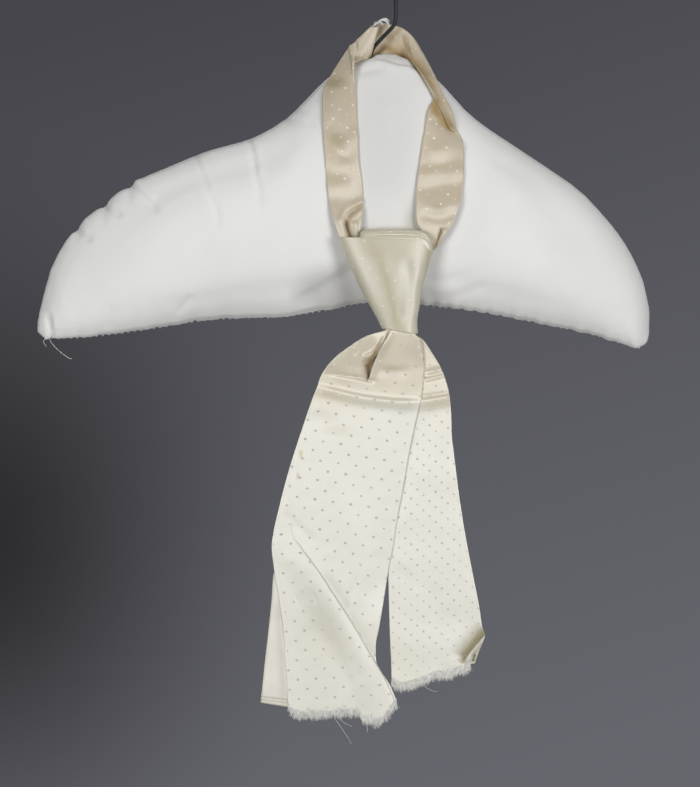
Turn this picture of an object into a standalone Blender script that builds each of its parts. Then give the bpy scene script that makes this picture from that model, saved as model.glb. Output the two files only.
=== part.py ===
"""Cream silk cravat tied in a four-in-hand knot, its neckband hung on a padded clothes hanger.

The frame has +X to the viewer's right, +Y away from the viewer and +Z up. Its origin is the inner top of
the hook's crook, where a rod bears. Tables and sizes are in millimetres, and a "drop" is a distance below
the origin, so z = -drop. Heights of folds are towards the viewer.
"""

import random
from collections import namedtuple
from math import cos, pi, radians, sin

import bmesh
import bpy
import numpy as np
from mathutils import Vector

MM = 0.001

# Driving sizes
SEAM_GAP = 0.35
BAND_THICK = 2.4
KNOT_ENTRY_FORWARD = 1.3
BLADE_THICK = 1.6
GATHER_THICK = 4.2
LINING_THICK = 1.0
LINING_FORWARD = 1.0
WRAP_WALL = 1.8
EDGE_ROUNDING = 0.45

WIRE_RADIUS = 1.4
CROOK_RADIUS = 16.6
CROOK_END_ANGLE = 186.0
STEM_X = CROOK_RADIUS + WIRE_RADIUS
PAD_TOP_DROP = 59.0
SOCKET_DEPTH = 20.0

PAD_ROUNDNESS = 2.3
PAD_WEIGHT = 0.2
PAD_FULLEST = 0.24
PAD_CORE_DEPTH = 35.0
OFF_PAD_STEP = 0.2

KNOT_ENTRY_DROP = 188.0
KNOT_ENTRY_LENGTH = 14.0
KNOT_SQUARENESS = 2.9
KNOT_TOP_FRONT_DROP = 192.0
KNOT_TOP_BACK_DROP = 206.0
KNOT_TOP_WAVE = 0.9
KNOT_BOTTOM_LEFT_DROP = 257.0
KNOT_BOTTOM_RIGHT_DROP = 260.6
CORE_GAP = 1.3
CORE_TOP_DROP = 206.5
CORE_BACK_Y = -36.0
ROLL_Y = -42.4
ROLL_SQUARENESS = 2.3

BLADE_TOP_DROP = 251.6
BLADE_SETTLE_LENGTH = 60.0
GATHER_END_DROP = 286.0
CREASE_WIDTH = 1.0
CREASE_STEP = 1.7
CREASE_START_DROP = 398.0
CREASE_STEP_LENGTH = 45.0
FRONT_BLADE_TOP_Y = -43.2
FRONT_BLADE_LOW_Y = -39.1
BACK_BLADE_TOP_Y = -37.7
BACK_BLADE_LOW_Y = -36.4

STRAND_PITCH = 1.4
STRAND_LENGTH = 4.2
FRAY_STRIP_HEIGHT = 1.4
FRAY_THICK = 1.1
FRAY_END_INSET = 0.6
STRAND_TAPER = 0.35
STRAND_SHORTEST = 0.7
STRAND_LONGEST = 1.2
STRAND_SWAY = 0.3

# The hanger's cover: upper and lower outline and half thickness at each x
PadSection = namedtuple("PadSection", "x top bottom half")
PAD = [
    PadSection(-241.0, 255.0, 265.5, 4.0),
    PadSection(-229.5, 211.5, 264.0, 11.5),
    PadSection(-212.5, 183.5, 263.5, 17.5),
    PadSection(-192.0, 166.5, 261.5, 22.5),
    PadSection(-173.5, 152.5, 259.0, 26.0),
    PadSection(-147.0, 141.0, 255.0, 29.5),
    PadSection(-117.5, 129.0, 250.5, 32.0),
    PadSection(-87.0, 120.0, 249.0, 33.0),
    PadSection(-65.5, 108.0, 248.5, 32.5),
    PadSection(-51.0, 94.5, 246.5, 32.0),
    PadSection(-26.0, 71.5, 242.5, 31.2),
    PadSection(0.0, 59.0, 237.5, 30.5),
    PadSection(13.5, 57.5, 237.0, 30.5),
    PadSection(24.5, 60.5, 237.5, 30.5),
    PadSection(44.5, 73.5, 240.5, 31.0),
    PadSection(71.5, 101.0, 243.5, 32.0),
    PadSection(107.5, 127.0, 250.0, 32.5),
    PadSection(129.0, 141.0, 254.5, 31.0),
    PadSection(150.5, 156.0, 258.5, 28.0),
    PadSection(168.5, 175.0, 263.5, 24.0),
    PadSection(183.0, 193.5, 268.0, 19.0),
    PadSection(193.5, 213.5, 271.0, 14.0),
    PadSection(199.5, 231.0, 269.5, 8.5),
    PadSection(201.5, 243.0, 263.5, 4.5),
]

# The hook's wire from its socket to the crook: x, and the rise above the cover's top
WirePoint = namedtuple("WirePoint", "x rise")
WIRE_STEM = [
    WirePoint(0.0, -SOCKET_DEPTH),
    WirePoint(0.0, -8.0),
    WirePoint(0.0, -0.5),
    WirePoint(0.8, 3.5),
    WirePoint(3.2, 7.2),
    WirePoint(8.8, 13.4),
    WirePoint(14.2, 18.8),
    WirePoint(STEM_X - 0.6, 22.0),
    WirePoint(STEM_X, 26.0),
    WirePoint(STEM_X, 34.0),
]

# The two stretches of neckband that lie on the hanger's front
BandSection = namedtuple("BandSection", "drop left right")
BAND_LEFT = [
    BandSection(78.4, -31.5, -11.5),
    BandSection(92.0, -35.5, -10.5),
    BandSection(114.0, -34.5, -9.5),
    BandSection(136.0, -33.0, -8.5),
    BandSection(152.5, -31.5, -6.0),
    BandSection(168.5, -29.0, -6.0),
    BandSection(179.5, -26.5, -7.0),
    BandSection(191.5, -21.5, -7.5),
    BandSection(203.0, -11.0, 0.5),
    BandSection(211.0, -5.0, 5.0),
]
BAND_RIGHT = [
    BandSection(93.6, 44.6, 48.0),
    BandSection(99.4, 41.0, 51.2),
    BandSection(105.0, 40.0, 54.2),
    BandSection(112.6, 39.0, 57.0),
    BandSection(115.2, 38.7, 64.0),
    BandSection(127.5, 36.5, 67.0),
    BandSection(148.5, 33.5, 67.0),
    BandSection(158.5, 32.5, 65.5),
    BandSection(172.0, 32.5, 62.5),
    BandSection(183.0, 33.0, 58.5),
    BandSection(191.5, 31.0, 52.5),
    BandSection(198.5, 28.5, 44.5),
    BandSection(204.5, 25.0, 35.0),
    BandSection(211.0, 21.5, 30.5),
]

# The neckband's top stretch, from the left shoulder round behind the wire to the right shoulder
LoopSection = namedtuple("LoopSection", "station outer_x outer_y outer_drop inner_x inner_y inner_drop")
BAND_TOP = [
    LoopSection(0, -31.5, -4.0, 77.2, -11.5, -17.5, 77.2),
    LoopSection(1, -25.0, 1.0, 66.0, -10.0, -13.0, 69.0),
    LoopSection(2, -15.0, 5.0, 53.5, -6.5, -6.0, 62.0),
    LoopSection(3, -6.0, 8.5, 45.0, -3.0, 4.0, 60.0),
    LoopSection(4, 3.0, 11.0, 37.5, 3.5, 10.0, 60.0),
    LoopSection(5, 12.0, 12.5, 34.0, 13.0, 14.0, 60.0),
    LoopSection(6, 21.0, 11.5, 37.5, 24.0, 11.0, 62.0),
    LoopSection(7, 30.0, 9.5, 45.5, 30.5, -5.0, 64.0),
    LoopSection(8, 37.5, 6.0, 58.0, 35.0, -11.5, 70.0),
    LoopSection(9, 44.0, 1.0, 71.5, 40.0, -15.5, 78.0),
    LoopSection(10, 52.0, -12.0, 87.0, 47.0, -17.5, 90.0),
    LoopSection(11, 60.0, -16.0, 103.0, 55.5, -19.5, 105.0),
    LoopSection(12, 63.5, -18.5, 113.0, 58.6, -21.5, 113.0),
]

# The knot: a tapered sleeve of silk, narrow end down
KnotSection = namedtuple("KnotSection", "drop left right front back")
KNOT = [
    KnotSection(188.0, -25.5, 44.5, -51.0, -29.4),
    KnotSection(200.0, -20.5, 44.5, -52.0, -29.4),
    KnotSection(209.0, -16.5, 42.0, -52.5, -29.6),
    KnotSection(217.5, -12.5, 39.5, -52.5, -30.0),
    KnotSection(229.0, -7.0, 36.5, -51.5, -31.0),
    KnotSection(242.5, 0.5, 34.6, -49.5, -32.4),
    KnotSection(251.5, 5.5, 33.4, -48.5, -33.0),
    KnotSection(262.0, 10.0, 33.8, -48.0, -33.2),
]

# The turn of silk that shows behind the knot's top edge
RollSection = namedtuple("RollSection", "x top bottom depth")
ROLL = [
    RollSection(-7.4, 190.0, 200.0, 3.5),
    RollSection(-6.0, 187.0, 203.0, 6.0),
    RollSection(0.0, 185.3, 204.5, 6.8),
    RollSection(15.0, 184.6, 205.0, 6.8),
    RollSection(28.0, 185.6, 203.0, 6.4),
    RollSection(35.0, 187.2, 200.0, 5.2),
    RollSection(39.5, 189.6, 197.0, 3.8),
    RollSection(42.0, 192.4, 195.6, 1.6),
]

# The front blade, from inside the knot down to its cut end. "crease" is its slanting fold
BladeSection = namedtuple("BladeSection", "drop left crease right")
FRONT_BLADE = [
    BladeSection(251.6, 13.5, 19.0, 29.0),
    BladeSection(257.8, 13.0, 19.0, 29.4),
    BladeSection(261.2, -1.0, 12.0, 29.8),
    BladeSection(264.0, -6.0, 9.0, 35.0),
    BladeSection(269.5, -15.0, 4.0, 36.5),
    BladeSection(276.5, -24.5, -1.0, 37.2),
    BladeSection(285.0, -32.5, -5.0, 38.0),
    BladeSection(296.0, -38.0, -10.0, 37.2),
    BladeSection(308.0, -42.5, -16.0, 36.0),
    BladeSection(322.5, -47.5, -24.0, 32.5),
    BladeSection(351.5, -57.0, -40.0, 26.5),
    BladeSection(367.0, -61.5, -47.0, 24.0),
    BladeSection(391.0, -67.5, -56.0, 19.5),
    BladeSection(403.0, -70.5, -56.5, 17.5),
    BladeSection(414.0, -71.5, -47.5, 16.0),
    BladeSection(428.5, -70.0, -37.5, 13.0),
    BladeSection(453.5, -66.0, -24.5, 9.0),
    BladeSection(471.5, -63.5, -13.0, 6.0),
    BladeSection(486.0, -62.3, -3.0, 3.4),
    BladeSection(494.5, -62.0, 1.0, 3.0),
    BladeSection(514.0, -60.3, 11.5, 13.5),
    BladeSection(528.0, -60.0, 17.0, 19.5),
]

# The back blade, and the lining that shows behind the front one
PanelSection = namedtuple("PanelSection", "drop left right")
BACK_BLADE = [
    PanelSection(251.6, 14.5, 28.0),
    PanelSection(260.8, 13.5, 28.2),
    PanelSection(263.2, 12.0, 35.5),
    PanelSection(266.0, 11.0, 38.5),
    PanelSection(273.5, 9.5, 43.5),
    PanelSection(283.5, 8.5, 49.6),
    PanelSection(294.5, 8.0, 54.0),
    PanelSection(305.5, 7.5, 56.6),
    PanelSection(319.0, 7.5, 58.0),
    PanelSection(332.5, 7.5, 58.2),
    PanelSection(348.5, 8.0, 60.0),
    PanelSection(376.5, 9.5, 63.5),
    PanelSection(404.0, 11.5, 67.5),
    PanelSection(436.5, 12.5, 74.0),
    PanelSection(457.0, 13.0, 77.5),
    PanelSection(473.0, 13.5, 81.5),
    PanelSection(488.0, 14.5, 79.5),
    PanelSection(500.0, 14.8, 76.0),
]
LINING_TAIL = [
    PanelSection(424.0, -67.5, -44.0),
    PanelSection(436.0, -70.5, -44.0),
    PanelSection(452.0, -71.6, -45.0),
    PanelSection(475.5, -74.0, -48.0),
    PanelSection(502.0, -77.0, -51.0),
    PanelSection(527.0, -79.5, -52.0),
]

# The spacing of each piece's rows down to a drop, close where its folds are
ROWS_BAND_LEFT = [(165.0, 8.5), (211.0, 4.5)]
ROWS_BAND_RIGHT = [(112.6, 4.0), (115.2, 2.6), (165.0, 8.5), (211.0, 4.5)]
ROWS_BLADE_FRONT = [
    (257.8, 3.1),
    (261.2, 3.4),
    (264.0, 2.8),
    (288.0, 3.6),
    (314.0, 2.2),
    (394.0, 10.0),
    (426.0, 4.0),
    (528.0, 8.5),
]
ROWS_BLADE_BACK = [(260.8, 4.6), (263.2, 2.4), (284.0, 4.2), (314.0, 2.8), (464.0, 15.0), (500.0, 4.5)]
ROWS_LINING = [(527.0, 12.0)]

# The cut edges, left to right
HemPoint = namedtuple("HemPoint", "x drop")
FRONT_HEM = [
    HemPoint(-60.0, 526.0),
    HemPoint(-53.0, 531.5),
    HemPoint(-33.0, 532.8),
    HemPoint(-13.0, 531.4),
    HemPoint(-7.0, 535.4),
    HemPoint(5.0, 538.6),
    HemPoint(13.0, 532.0),
    HemPoint(19.5, 526.4),
]
BACK_HEM = [
    HemPoint(15.0, 511.0),
    HemPoint(25.0, 513.0),
    HemPoint(35.0, 510.6),
    HemPoint(44.0, 505.2),
    HemPoint(54.0, 503.0),
    HemPoint(65.0, 500.2),
    HemPoint(76.0, 494.0),
]
LINING_HEM = [HemPoint(-79.5, 525.5), HemPoint(-52.0, 530.0)]

# The largest folds of each piece: a straight ridge (or trough) from one end to the other
Fold = namedtuple("Fold", "x0 drop0 x1 drop1 width height")
FRONT_FOLDS = [
    Fold(-8.0, 268.0, -22.0, 283.0, 9.0, 2.6),
    Fold(11.0, 262.0, 4.0, 275.0, 2.6, -2.2),
    Fold(3.0, 277.0, -1.5, 291.0, 3.0, -3.0),
    Fold(9.0, 268.0, 4.0, 290.0, 2.5, 1.0),
    Fold(-26.0, 290.5, -2.0, 294.0, 2.0, -1.2),
    Fold(-36.0, 296.6, 0.0, 304.3, 1.6, -0.8),
    Fold(0.0, 304.3, 35.0, 306.2, 1.6, -0.8),
    Fold(-38.0, 299.5, -0.5, 307.3, 1.5, 1.2),
    Fold(-0.5, 307.3, 35.5, 309.5, 1.5, 1.2),
    Fold(-36.0, 304.0, 34.0, 314.0, 2.8, -0.7),
    Fold(-58.0, 393.0, -47.0, 403.0, 5.0, -0.9),
]
BACK_FOLDS = [
    Fold(44.0, 286.5, 51.0, 285.5, 2.2, -0.9),
    Fold(44.0, 294.0, 52.0, 291.5, 2.2, -0.9),
    Fold(38.0, 306.0, 56.0, 303.0, 1.8, -0.9),
    Fold(38.0, 309.0, 56.0, 306.0, 1.6, 0.8),
    Fold(60.0, 489.0, 76.0, 478.0, 2.8, 1.6),
    Fold(68.0, 491.0, 77.0, 484.0, 2.6, -1.2),
    Fold(79.0, 478.0, 77.0, 492.0, 2.4, 2.6),
]
BAND_LEFT_FOLDS = [
    Fold(-18.0, 186.0, -8.0, 171.0, 2.6, 1.4),
    Fold(-10.5, 180.0, -10.8, 193.0, 1.8, 1.5),
    Fold(-22.0, 170.0, -19.5, 193.0, 2.2, 0.9),
    Fold(-33.0, 118.0, -12.0, 108.0, 6.0, 0.7),
]
BAND_RIGHT_FOLDS = [
    Fold(40.0, 128.0, 64.0, 122.0, 4.5, 1.3),
    Fold(42.0, 149.0, 64.0, 153.0, 4.5, 1.2),
    Fold(38.0, 168.0, 58.0, 167.0, 4.0, 1.0),
    Fold(36.0, 186.0, 47.0, 194.0, 2.5, 1.2),
    Fold(52.0, 180.0, 43.0, 197.0, 2.5, 1.3),
]


def curve(rows, along, column):
    """A smooth function through one named column of a table, without overshoot between its rows."""
    at = np.array([getattr(row, along) for row in rows], float)
    values = np.array([getattr(row, column) for row in rows], float)
    steps = np.diff(at)
    slopes = np.diff(values) / steps
    tangents = np.concatenate([[slopes[0]], np.zeros(len(at) - 2), [slopes[-1]]])
    for i, (before, after) in enumerate(zip(slopes[:-1], slopes[1:]), start=1):
        if before * after > 0:
            tangents[i] = 2 * before * after / (before + after)

    def value(x):
        x = min(max(x, at[0]), at[-1])
        i = min(int(np.searchsorted(at, x, side="right")) - 1, len(steps) - 1)
        t = (x - at[i]) / steps[i]
        bend = t * (1 - t) * ((1 - t) * (tangents[i] - slopes[i]) - t * (tangents[i + 1] - slopes[i]))
        return float(values[i] + t * (values[i + 1] - values[i]) + bend * steps[i])

    return value


def stations(start, zones):
    """Row positions from start on, where each zone is (its end, the spacing in it)."""
    rows = [start]
    for end, spacing in zones:
        count = max(1, round((end - rows[-1]) / spacing))
        rows += list(np.linspace(rows[-1], end, count + 1)[1:])
    return rows


def blend(low, high, t):
    """Eases from low to high as t runs from 0 to 1, and stays there outside it."""
    t = min(max(t, 0.0), 1.0)
    return low + (high - low) * t * t * (3 - 2 * t)


def relief(x, drop, folds):
    """The height that the folds give a piece at one place."""
    height = 0.0
    for fold in folds:
        start = np.array([fold.x0, fold.drop0])
        along = np.array([fold.x1, fold.drop1]) - start
        t = np.dot([x, drop] - start, along) / np.dot(along, along)
        away = np.linalg.norm([x, drop] - start - along * min(max(t, 0.0), 1.0))
        height += fold.height * float(np.exp(-((away / fold.width) ** 2)))
    return height


def point(x, y, drop):
    """A place given in millimetres, as a vector in metres."""
    return Vector((x, y, -drop)) * MM


def material(name, colour, roughness, metallic=0.0):
    """A Principled material with one colour."""
    made = bpy.data.materials.new(name)
    made.use_nodes = True
    shader = made.node_tree.nodes["Principled BSDF"]
    shader.inputs["Base Color"].default_value = (*colour, 1.0)
    shader.inputs["Roughness"].default_value = roughness
    shader.inputs["Metallic"].default_value = metallic
    return made


def finish(name, mesh_data, finish_material, parent):
    """Makes the bmesh a named, smooth-shaded object with its normals out."""
    bmesh.ops.recalc_face_normals(mesh_data, faces=mesh_data.faces)
    mesh = bpy.data.meshes.new(name)
    mesh_data.to_mesh(mesh)
    mesh_data.free()
    mesh.shade_smooth()
    mesh.set_sharp_from_angle(angle=radians(50))
    mesh.materials.append(finish_material)
    piece = bpy.data.objects.new(name, mesh)
    piece.parent = parent
    bpy.context.collection.objects.link(piece)
    return piece


def bridge(mesh_data, first, second):
    """Faces between two closed rings of the same number of vertices."""
    count = len(first)
    for i in range(count):
        j = (i + 1) % count
        mesh_data.faces.new((first[i], first[j], second[j], second[i]))


def cloth_wall(name, rows, thickness, finish_material, parent, flat_on=None):
    """A wall of cloth round a grid of mid-surface points, with its side edges rounded.

    thickness is one number for each row. The wall is built square to the surface, or along flat_on.
    """
    grid = np.array([[tuple(p) for p in row] for row in rows])
    if flat_on is None:
        along = np.gradient(grid, axis=0)
        across = np.gradient(grid, axis=1)
        facing = np.cross(along, across)
        facing /= np.linalg.norm(facing, axis=2, keepdims=True)
    else:
        facing = np.broadcast_to(np.array(flat_on, float), grid.shape)
    half = np.array(thickness)[:, None, None] * MM / 2
    edge = np.ones((1, grid.shape[1], 1))
    edge[0, 0] = edge[0, -1] = EDGE_ROUNDING
    mesh_data = bmesh.new()
    rings = []
    for front, back in zip(grid + facing * half * edge, grid - facing * half * edge):
        ring = [*front, *back[::-1]]
        rings.append([mesh_data.verts.new(p) for p in ring])
    for first, second in zip(rings, rings[1:]):
        bridge(mesh_data, first, second)
    count = len(rings[0])
    for ring in (rings[0], rings[-1]):
        for k in range(count // 2 - 1):
            mesh_data.faces.new((ring[k], ring[k + 1], ring[count - 2 - k], ring[count - 1 - k]))
    return finish(name, mesh_data, finish_material, parent)


def loft(name, rings, finish_material, parent):
    """A solid through closed rings, with both ends filled."""
    mesh_data = bmesh.new()
    made = [[mesh_data.verts.new(p) for p in ring] for ring in rings]
    for first, second in zip(made, made[1:]):
        bridge(mesh_data, first, second)
    mesh_data.faces.new(made[0])
    mesh_data.faces.new(made[-1])
    return finish(name, mesh_data, finish_material, parent)


def hoop(centre_a, centre_b, half_a, half_b, squareness, count):
    """Points round a rounded rectangle, as pairs (a, b)."""
    pairs = []
    for k in range(count):
        angle = 2 * pi * k / count
        a = abs(cos(angle)) ** (2 / squareness) * (1 if cos(angle) >= 0 else -1)
        b = abs(sin(angle)) ** (2 / squareness) * (1 if sin(angle) >= 0 else -1)
        pairs.append((centre_a + half_a * a, centre_b + half_b * b))
    return pairs


pad_top = curve(PAD, "x", "top")
pad_bottom = curve(PAD, "x", "bottom")
pad_half = curve(PAD, "x", "half")


def pad_depth(x, drop):
    """How far the hanger's cover reaches to the front, and to the back, at one place."""
    middle = (pad_top(x) + pad_bottom(x)) / 2
    t = (middle - drop) / ((pad_bottom(x) - pad_top(x)) / 2)
    if abs(t) >= 1:
        return 0.0
    return pad_half(x) * (1 - abs(t) ** PAD_ROUNDNESS) ** 0.5 * (1 - PAD_WEIGHT * t)


def off_pad(x, y, drop, clearance):
    """The place moved straight out of the hanger's cover until it is clear."""
    axis_drop = pad_top(x) + PAD_CORE_DEPTH
    out = Vector((y, drop - axis_drop)).normalized() * OFF_PAD_STEP
    while drop + clearance > pad_top(x) and abs(y) < pad_depth(x, drop + clearance) + clearance:
        y += out.x
        drop += out.y
    return point(x, y, drop)


def on_pad(x, drop, height):
    """A place on the hanger's front, where cloth below its fullest part hangs straight."""
    fullest = (pad_top(x) + pad_bottom(x)) / 2 + PAD_FULLEST * (pad_bottom(x) - pad_top(x)) / 2
    clearance = SEAM_GAP + BAND_THICK / 2
    return off_pad(x, -pad_depth(x, min(drop, fullest)) - clearance - height, drop, clearance)


def make_pad(cover, parent):
    """The padded cover, with a socket for the hook's wire."""
    half_count = 10
    across = [-cos(pi * k / half_count) for k in range(1, half_count)]
    rings = []
    for x in stations(PAD[0].x, [(-205, 5.5), (-60, 11), (75, 7), (165, 10), (PAD[-1].x, 4.5)]):
        middle = (pad_top(x) + pad_bottom(x)) / 2
        reach = (pad_bottom(x) - pad_top(x)) / 2
        drops = [middle - t * reach for t in across]
        ring = [point(x, 0, pad_bottom(x))]
        ring += [point(x, -pad_depth(x, drop), drop) for drop in drops]
        ring += [point(x, 0, pad_top(x))]
        ring += [point(x, pad_depth(x, drop), drop) for drop in reversed(drops)]
        rings.append(ring)
    pad = loft("hanger_pad", rings, cover, parent)
    bpy.ops.mesh.primitive_cylinder_add(
        vertices=12,
        radius=(WIRE_RADIUS + SEAM_GAP) * MM,
        depth=2 * (SOCKET_DEPTH + SEAM_GAP) * MM,
        location=point(0, 0, PAD_TOP_DROP),
    )
    socket = bpy.context.object
    socket.name = "wire_socket"
    socket.hide_render = True
    socket.display_type = "WIRE"
    cut = pad.modifiers.new("wire_socket", "BOOLEAN")
    cut.operation = "DIFFERENCE"
    cut.object = socket


def make_hook(wire, parent):
    """The hanger's bent wire: out of the cover, up its stem and round the crook."""
    route = [point(stem.x, 0, PAD_TOP_DROP - stem.rise) for stem in WIRE_STEM]
    steps = 24
    for k in range(steps + 1):
        angle = radians(CROOK_END_ANGLE) * k / steps
        route.append(point(STEM_X * cos(angle), 0, CROOK_RADIUS - STEM_X * sin(angle)))
    line = bpy.data.curves.new("hook_wire", "CURVE")
    line.dimensions = "3D"
    line.bevel_depth = WIRE_RADIUS * MM
    line.bevel_resolution = 2
    line.use_fill_caps = True
    spline = line.splines.new("POLY")
    spline.points.add(len(route) - 1)
    for made, place in zip(spline.points, route):
        made.co = (*place, 1.0)
    line.materials.append(wire)
    hook = bpy.data.objects.new("hook_wire", line)
    hook.parent = parent
    bpy.context.collection.objects.link(hook)


def make_front_band(name, table, zones, folds, silk, parent):
    """One stretch of neckband on the hanger's front, gathered where it enters the knot."""
    left = curve(table, "drop", "left")
    right = curve(table, "drop", "right")
    columns = 9
    rows = []
    for drop in stations(table[0].drop, zones):
        across = np.linspace(left(drop), right(drop), columns)
        forward = blend(0.0, KNOT_ENTRY_FORWARD, (drop - KNOT_ENTRY_DROP) / KNOT_ENTRY_LENGTH)
        rows.append([on_pad(x, drop, relief(x, drop, folds) + forward) for x in across])
    cloth_wall(name, rows, [BAND_THICK] * len(rows), silk, parent)


def make_band_top(silk, parent):
    """The stretch that stands round the back of the hook and lies over both shoulders."""
    read = {field: curve(BAND_TOP, "station", field) for field in LoopSection._fields[1:]}
    clearance = BAND_THICK / 2 + SEAM_GAP
    columns = 7
    rows_each = 2
    rows = []
    for at in np.linspace(0, BAND_TOP[-1].station, rows_each * BAND_TOP[-1].station + 1):
        outer = Vector([read[field](at) for field in ("outer_x", "outer_y", "outer_drop")])
        inner = Vector([read[field](at) for field in ("inner_x", "inner_y", "inner_drop")])
        across = [outer.lerp(inner, c / (columns - 1)) for c in range(columns)]
        rows.append([off_pad(p.x, p.y, p.z, clearance) for p in across])
    cloth_wall("band_top", rows, [BAND_THICK] * len(rows), silk, parent)


class Knot:
    """The knot's outline at any drop, narrowed by an inset."""

    def __init__(self):
        self.read = {field: curve(KNOT, "drop", field) for field in KnotSection._fields[1:]}

    def ring(self, drop_of, inset, count, back=None):
        """Points round the knot. drop_of gives the drop from the angle's cosine and sine."""
        points = []
        for k in range(count):
            angle = 2 * pi * k / count
            drop = drop_of(cos(angle), sin(angle))
            left, right, front, rear = (self.read[field](drop) for field in KnotSection._fields[1:])
            rear = rear if back is None else back + inset
            pairs = hoop(
                (left + right) / 2,
                (front + rear) / 2,
                (right - left) / 2 - inset,
                (rear - front) / 2 - inset,
                KNOT_SQUARENESS,
                count,
            )
            points.append(point(*pairs[k], drop))
        return points


def knot_top(to_right, to_back):
    """The drop of the sleeve's upper rim: high at the front, lower at the back, with a slight wave."""
    wave = KNOT_TOP_WAVE * sin(2.6 * to_right + 0.4)
    slope = blend(0.0, 1.0, (to_back + 1) / 2)
    return KNOT_TOP_FRONT_DROP + wave + slope * (KNOT_TOP_BACK_DROP - KNOT_TOP_FRONT_DROP)


def knot_bottom(to_right, to_back):
    """The drop of the sleeve's lower rim, which slants down to the right."""
    return blend(KNOT_BOTTOM_LEFT_DROP, KNOT_BOTTOM_RIGHT_DROP, (to_right + 1) / 2)


def make_knot_wrap(silk, parent):
    """The last turn of the knot, a sleeve that is open at both ends with rounded rims."""
    knot = Knot()
    count = 30
    outer_rows = 12
    rim = WRAP_WALL / 3

    def level(t):
        return lambda c, s: knot_top(c, s) * (1 - t) + knot_bottom(c, s) * t

    outside = [knot.ring(level(t), 0.0, count) for t in np.linspace(0, 1, outer_rows)]
    inside = [knot.ring(level(t), WRAP_WALL, count) for t in np.linspace(1, 0, outer_rows // 2)]
    low_rim = knot.ring(lambda c, s: knot_bottom(c, s) + rim, WRAP_WALL / 2, count)
    high_rim = knot.ring(lambda c, s: knot_top(c, s) - rim, WRAP_WALL / 2, count)
    mesh_data = bmesh.new()
    rings = [[mesh_data.verts.new(p) for p in ring] for ring in [*outside, low_rim, *inside, high_rim]]
    for first, second in zip(rings, rings[1:] + rings[:1]):
        bridge(mesh_data, first, second)
    finish("knot_wrap", mesh_data, silk, parent)


def make_knot_core(silk, parent):
    """The hidden turns inside the sleeve, as one rounded solid between the neckband and the blades."""
    knot = Knot()
    inset = WRAP_WALL + CORE_GAP
    rings = []
    for drop in np.linspace(CORE_TOP_DROP, BLADE_TOP_DROP - SEAM_GAP, 6):
        rings.append(knot.ring(lambda c, s, at=drop: at, inset, 16, back=CORE_BACK_Y))
    loft("knot_core", rings, silk, parent)


def make_knot_roll(silk, parent):
    """The turn that rolls over behind the sleeve's upper rim."""
    top, bottom, depth = (curve(ROLL, "x", field) for field in ("top", "bottom", "depth"))
    rings = []
    for x in stations(ROLL[0].x, [(-4, 1.7), (34, 5), (ROLL[-1].x, 2)]):
        centre = (top(x) + bottom(x)) / 2
        section = hoop(ROLL_Y, centre, depth(x), (bottom(x) - top(x)) / 2, ROLL_SQUARENESS, 14)
        rings.append([point(x, y, drop) for y, drop in section])
    loft("knot_roll", rings, silk, parent)


def blade_thickness(drop):
    """Gathered and thick inside the knot, then flat."""
    return blend(GATHER_THICK, BLADE_THICK, (drop - BLADE_TOP_DROP) / (GATHER_END_DROP - BLADE_TOP_DROP))


def blade_y(drop, top_y, low_y):
    """The depth of a blade's middle surface, before its folds."""
    return blend(top_y, low_y, (drop - BLADE_TOP_DROP) / BLADE_SETTLE_LENGTH)


def front_blade_y(drop):
    """The depth of the front blade, which the lining follows."""
    return blade_y(drop, FRONT_BLADE_TOP_Y, FRONT_BLADE_LOW_Y)


def hem_drop(base, start, hem, x, hem_middle):
    """A row's drop at x, where the last rows bend to the cut edge."""
    reach = (base - start) / (hem_middle - start)
    return base + (hem(x) - hem_middle) * reach**8


def make_front_blade(silk, parent):
    """The front blade. Below its slanting crease it steps forward, where the cloth is folded over."""
    left, crease, right = (curve(FRONT_BLADE, "drop", f) for f in ("left", "crease", "right"))
    hem = curve(FRONT_HEM, "x", "drop")
    end = FRONT_BLADE[-1].drop
    flap_columns, main_columns = 7, 8

    def columns(base):
        flap = np.linspace(left(base), crease(base) - CREASE_WIDTH / 2, flap_columns)
        return [*flap, *np.linspace(crease(base) + CREASE_WIDTH / 2, right(base), main_columns)]

    rows, thickness = [], []
    for base in stations(BLADE_TOP_DROP, ROWS_BLADE_FRONT):
        step = CREASE_STEP * blend(0.0, 1.0, (base - CREASE_START_DROP) / CREASE_STEP_LENGTH)
        row = []
        for k, (x, x_end) in enumerate(zip(columns(base), columns(end))):
            drop = hem_drop(base, BLADE_TOP_DROP, hem, x_end, end)
            forward = relief(x, drop, FRONT_FOLDS) + (step if k < flap_columns else 0.0)
            row.append(point(x, front_blade_y(drop) - forward, drop))
        rows.append(row)
        thickness.append(blade_thickness(base))
    cloth_wall("blade_front", rows, thickness, silk, parent, flat_on=(0, -1, 0))
    return rows[-1]


def make_back_blade(silk, parent):
    """The back blade, whose lower right corner is turned up towards the viewer."""
    left, right = (curve(BACK_BLADE, "drop", f) for f in ("left", "right"))
    hem = curve(BACK_HEM, "x", "drop")
    end = BACK_BLADE[-1].drop
    columns = 12
    across_end = np.linspace(left(end), right(end), columns)
    rows, thickness = [], []
    for base in stations(BLADE_TOP_DROP, ROWS_BLADE_BACK):
        row = []
        for x, x_end in zip(np.linspace(left(base), right(base), columns), across_end):
            drop = hem_drop(base, BLADE_TOP_DROP, hem, x_end, end)
            y = blade_y(drop, BACK_BLADE_TOP_Y, BACK_BLADE_LOW_Y) - relief(x, drop, BACK_FOLDS)
            row.append(point(x, y, drop))
        rows.append(row)
        thickness.append(blade_thickness(base))
    cloth_wall("blade_back", rows, thickness, silk, parent, flat_on=(0, -1, 0))
    return rows[-1]


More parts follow.
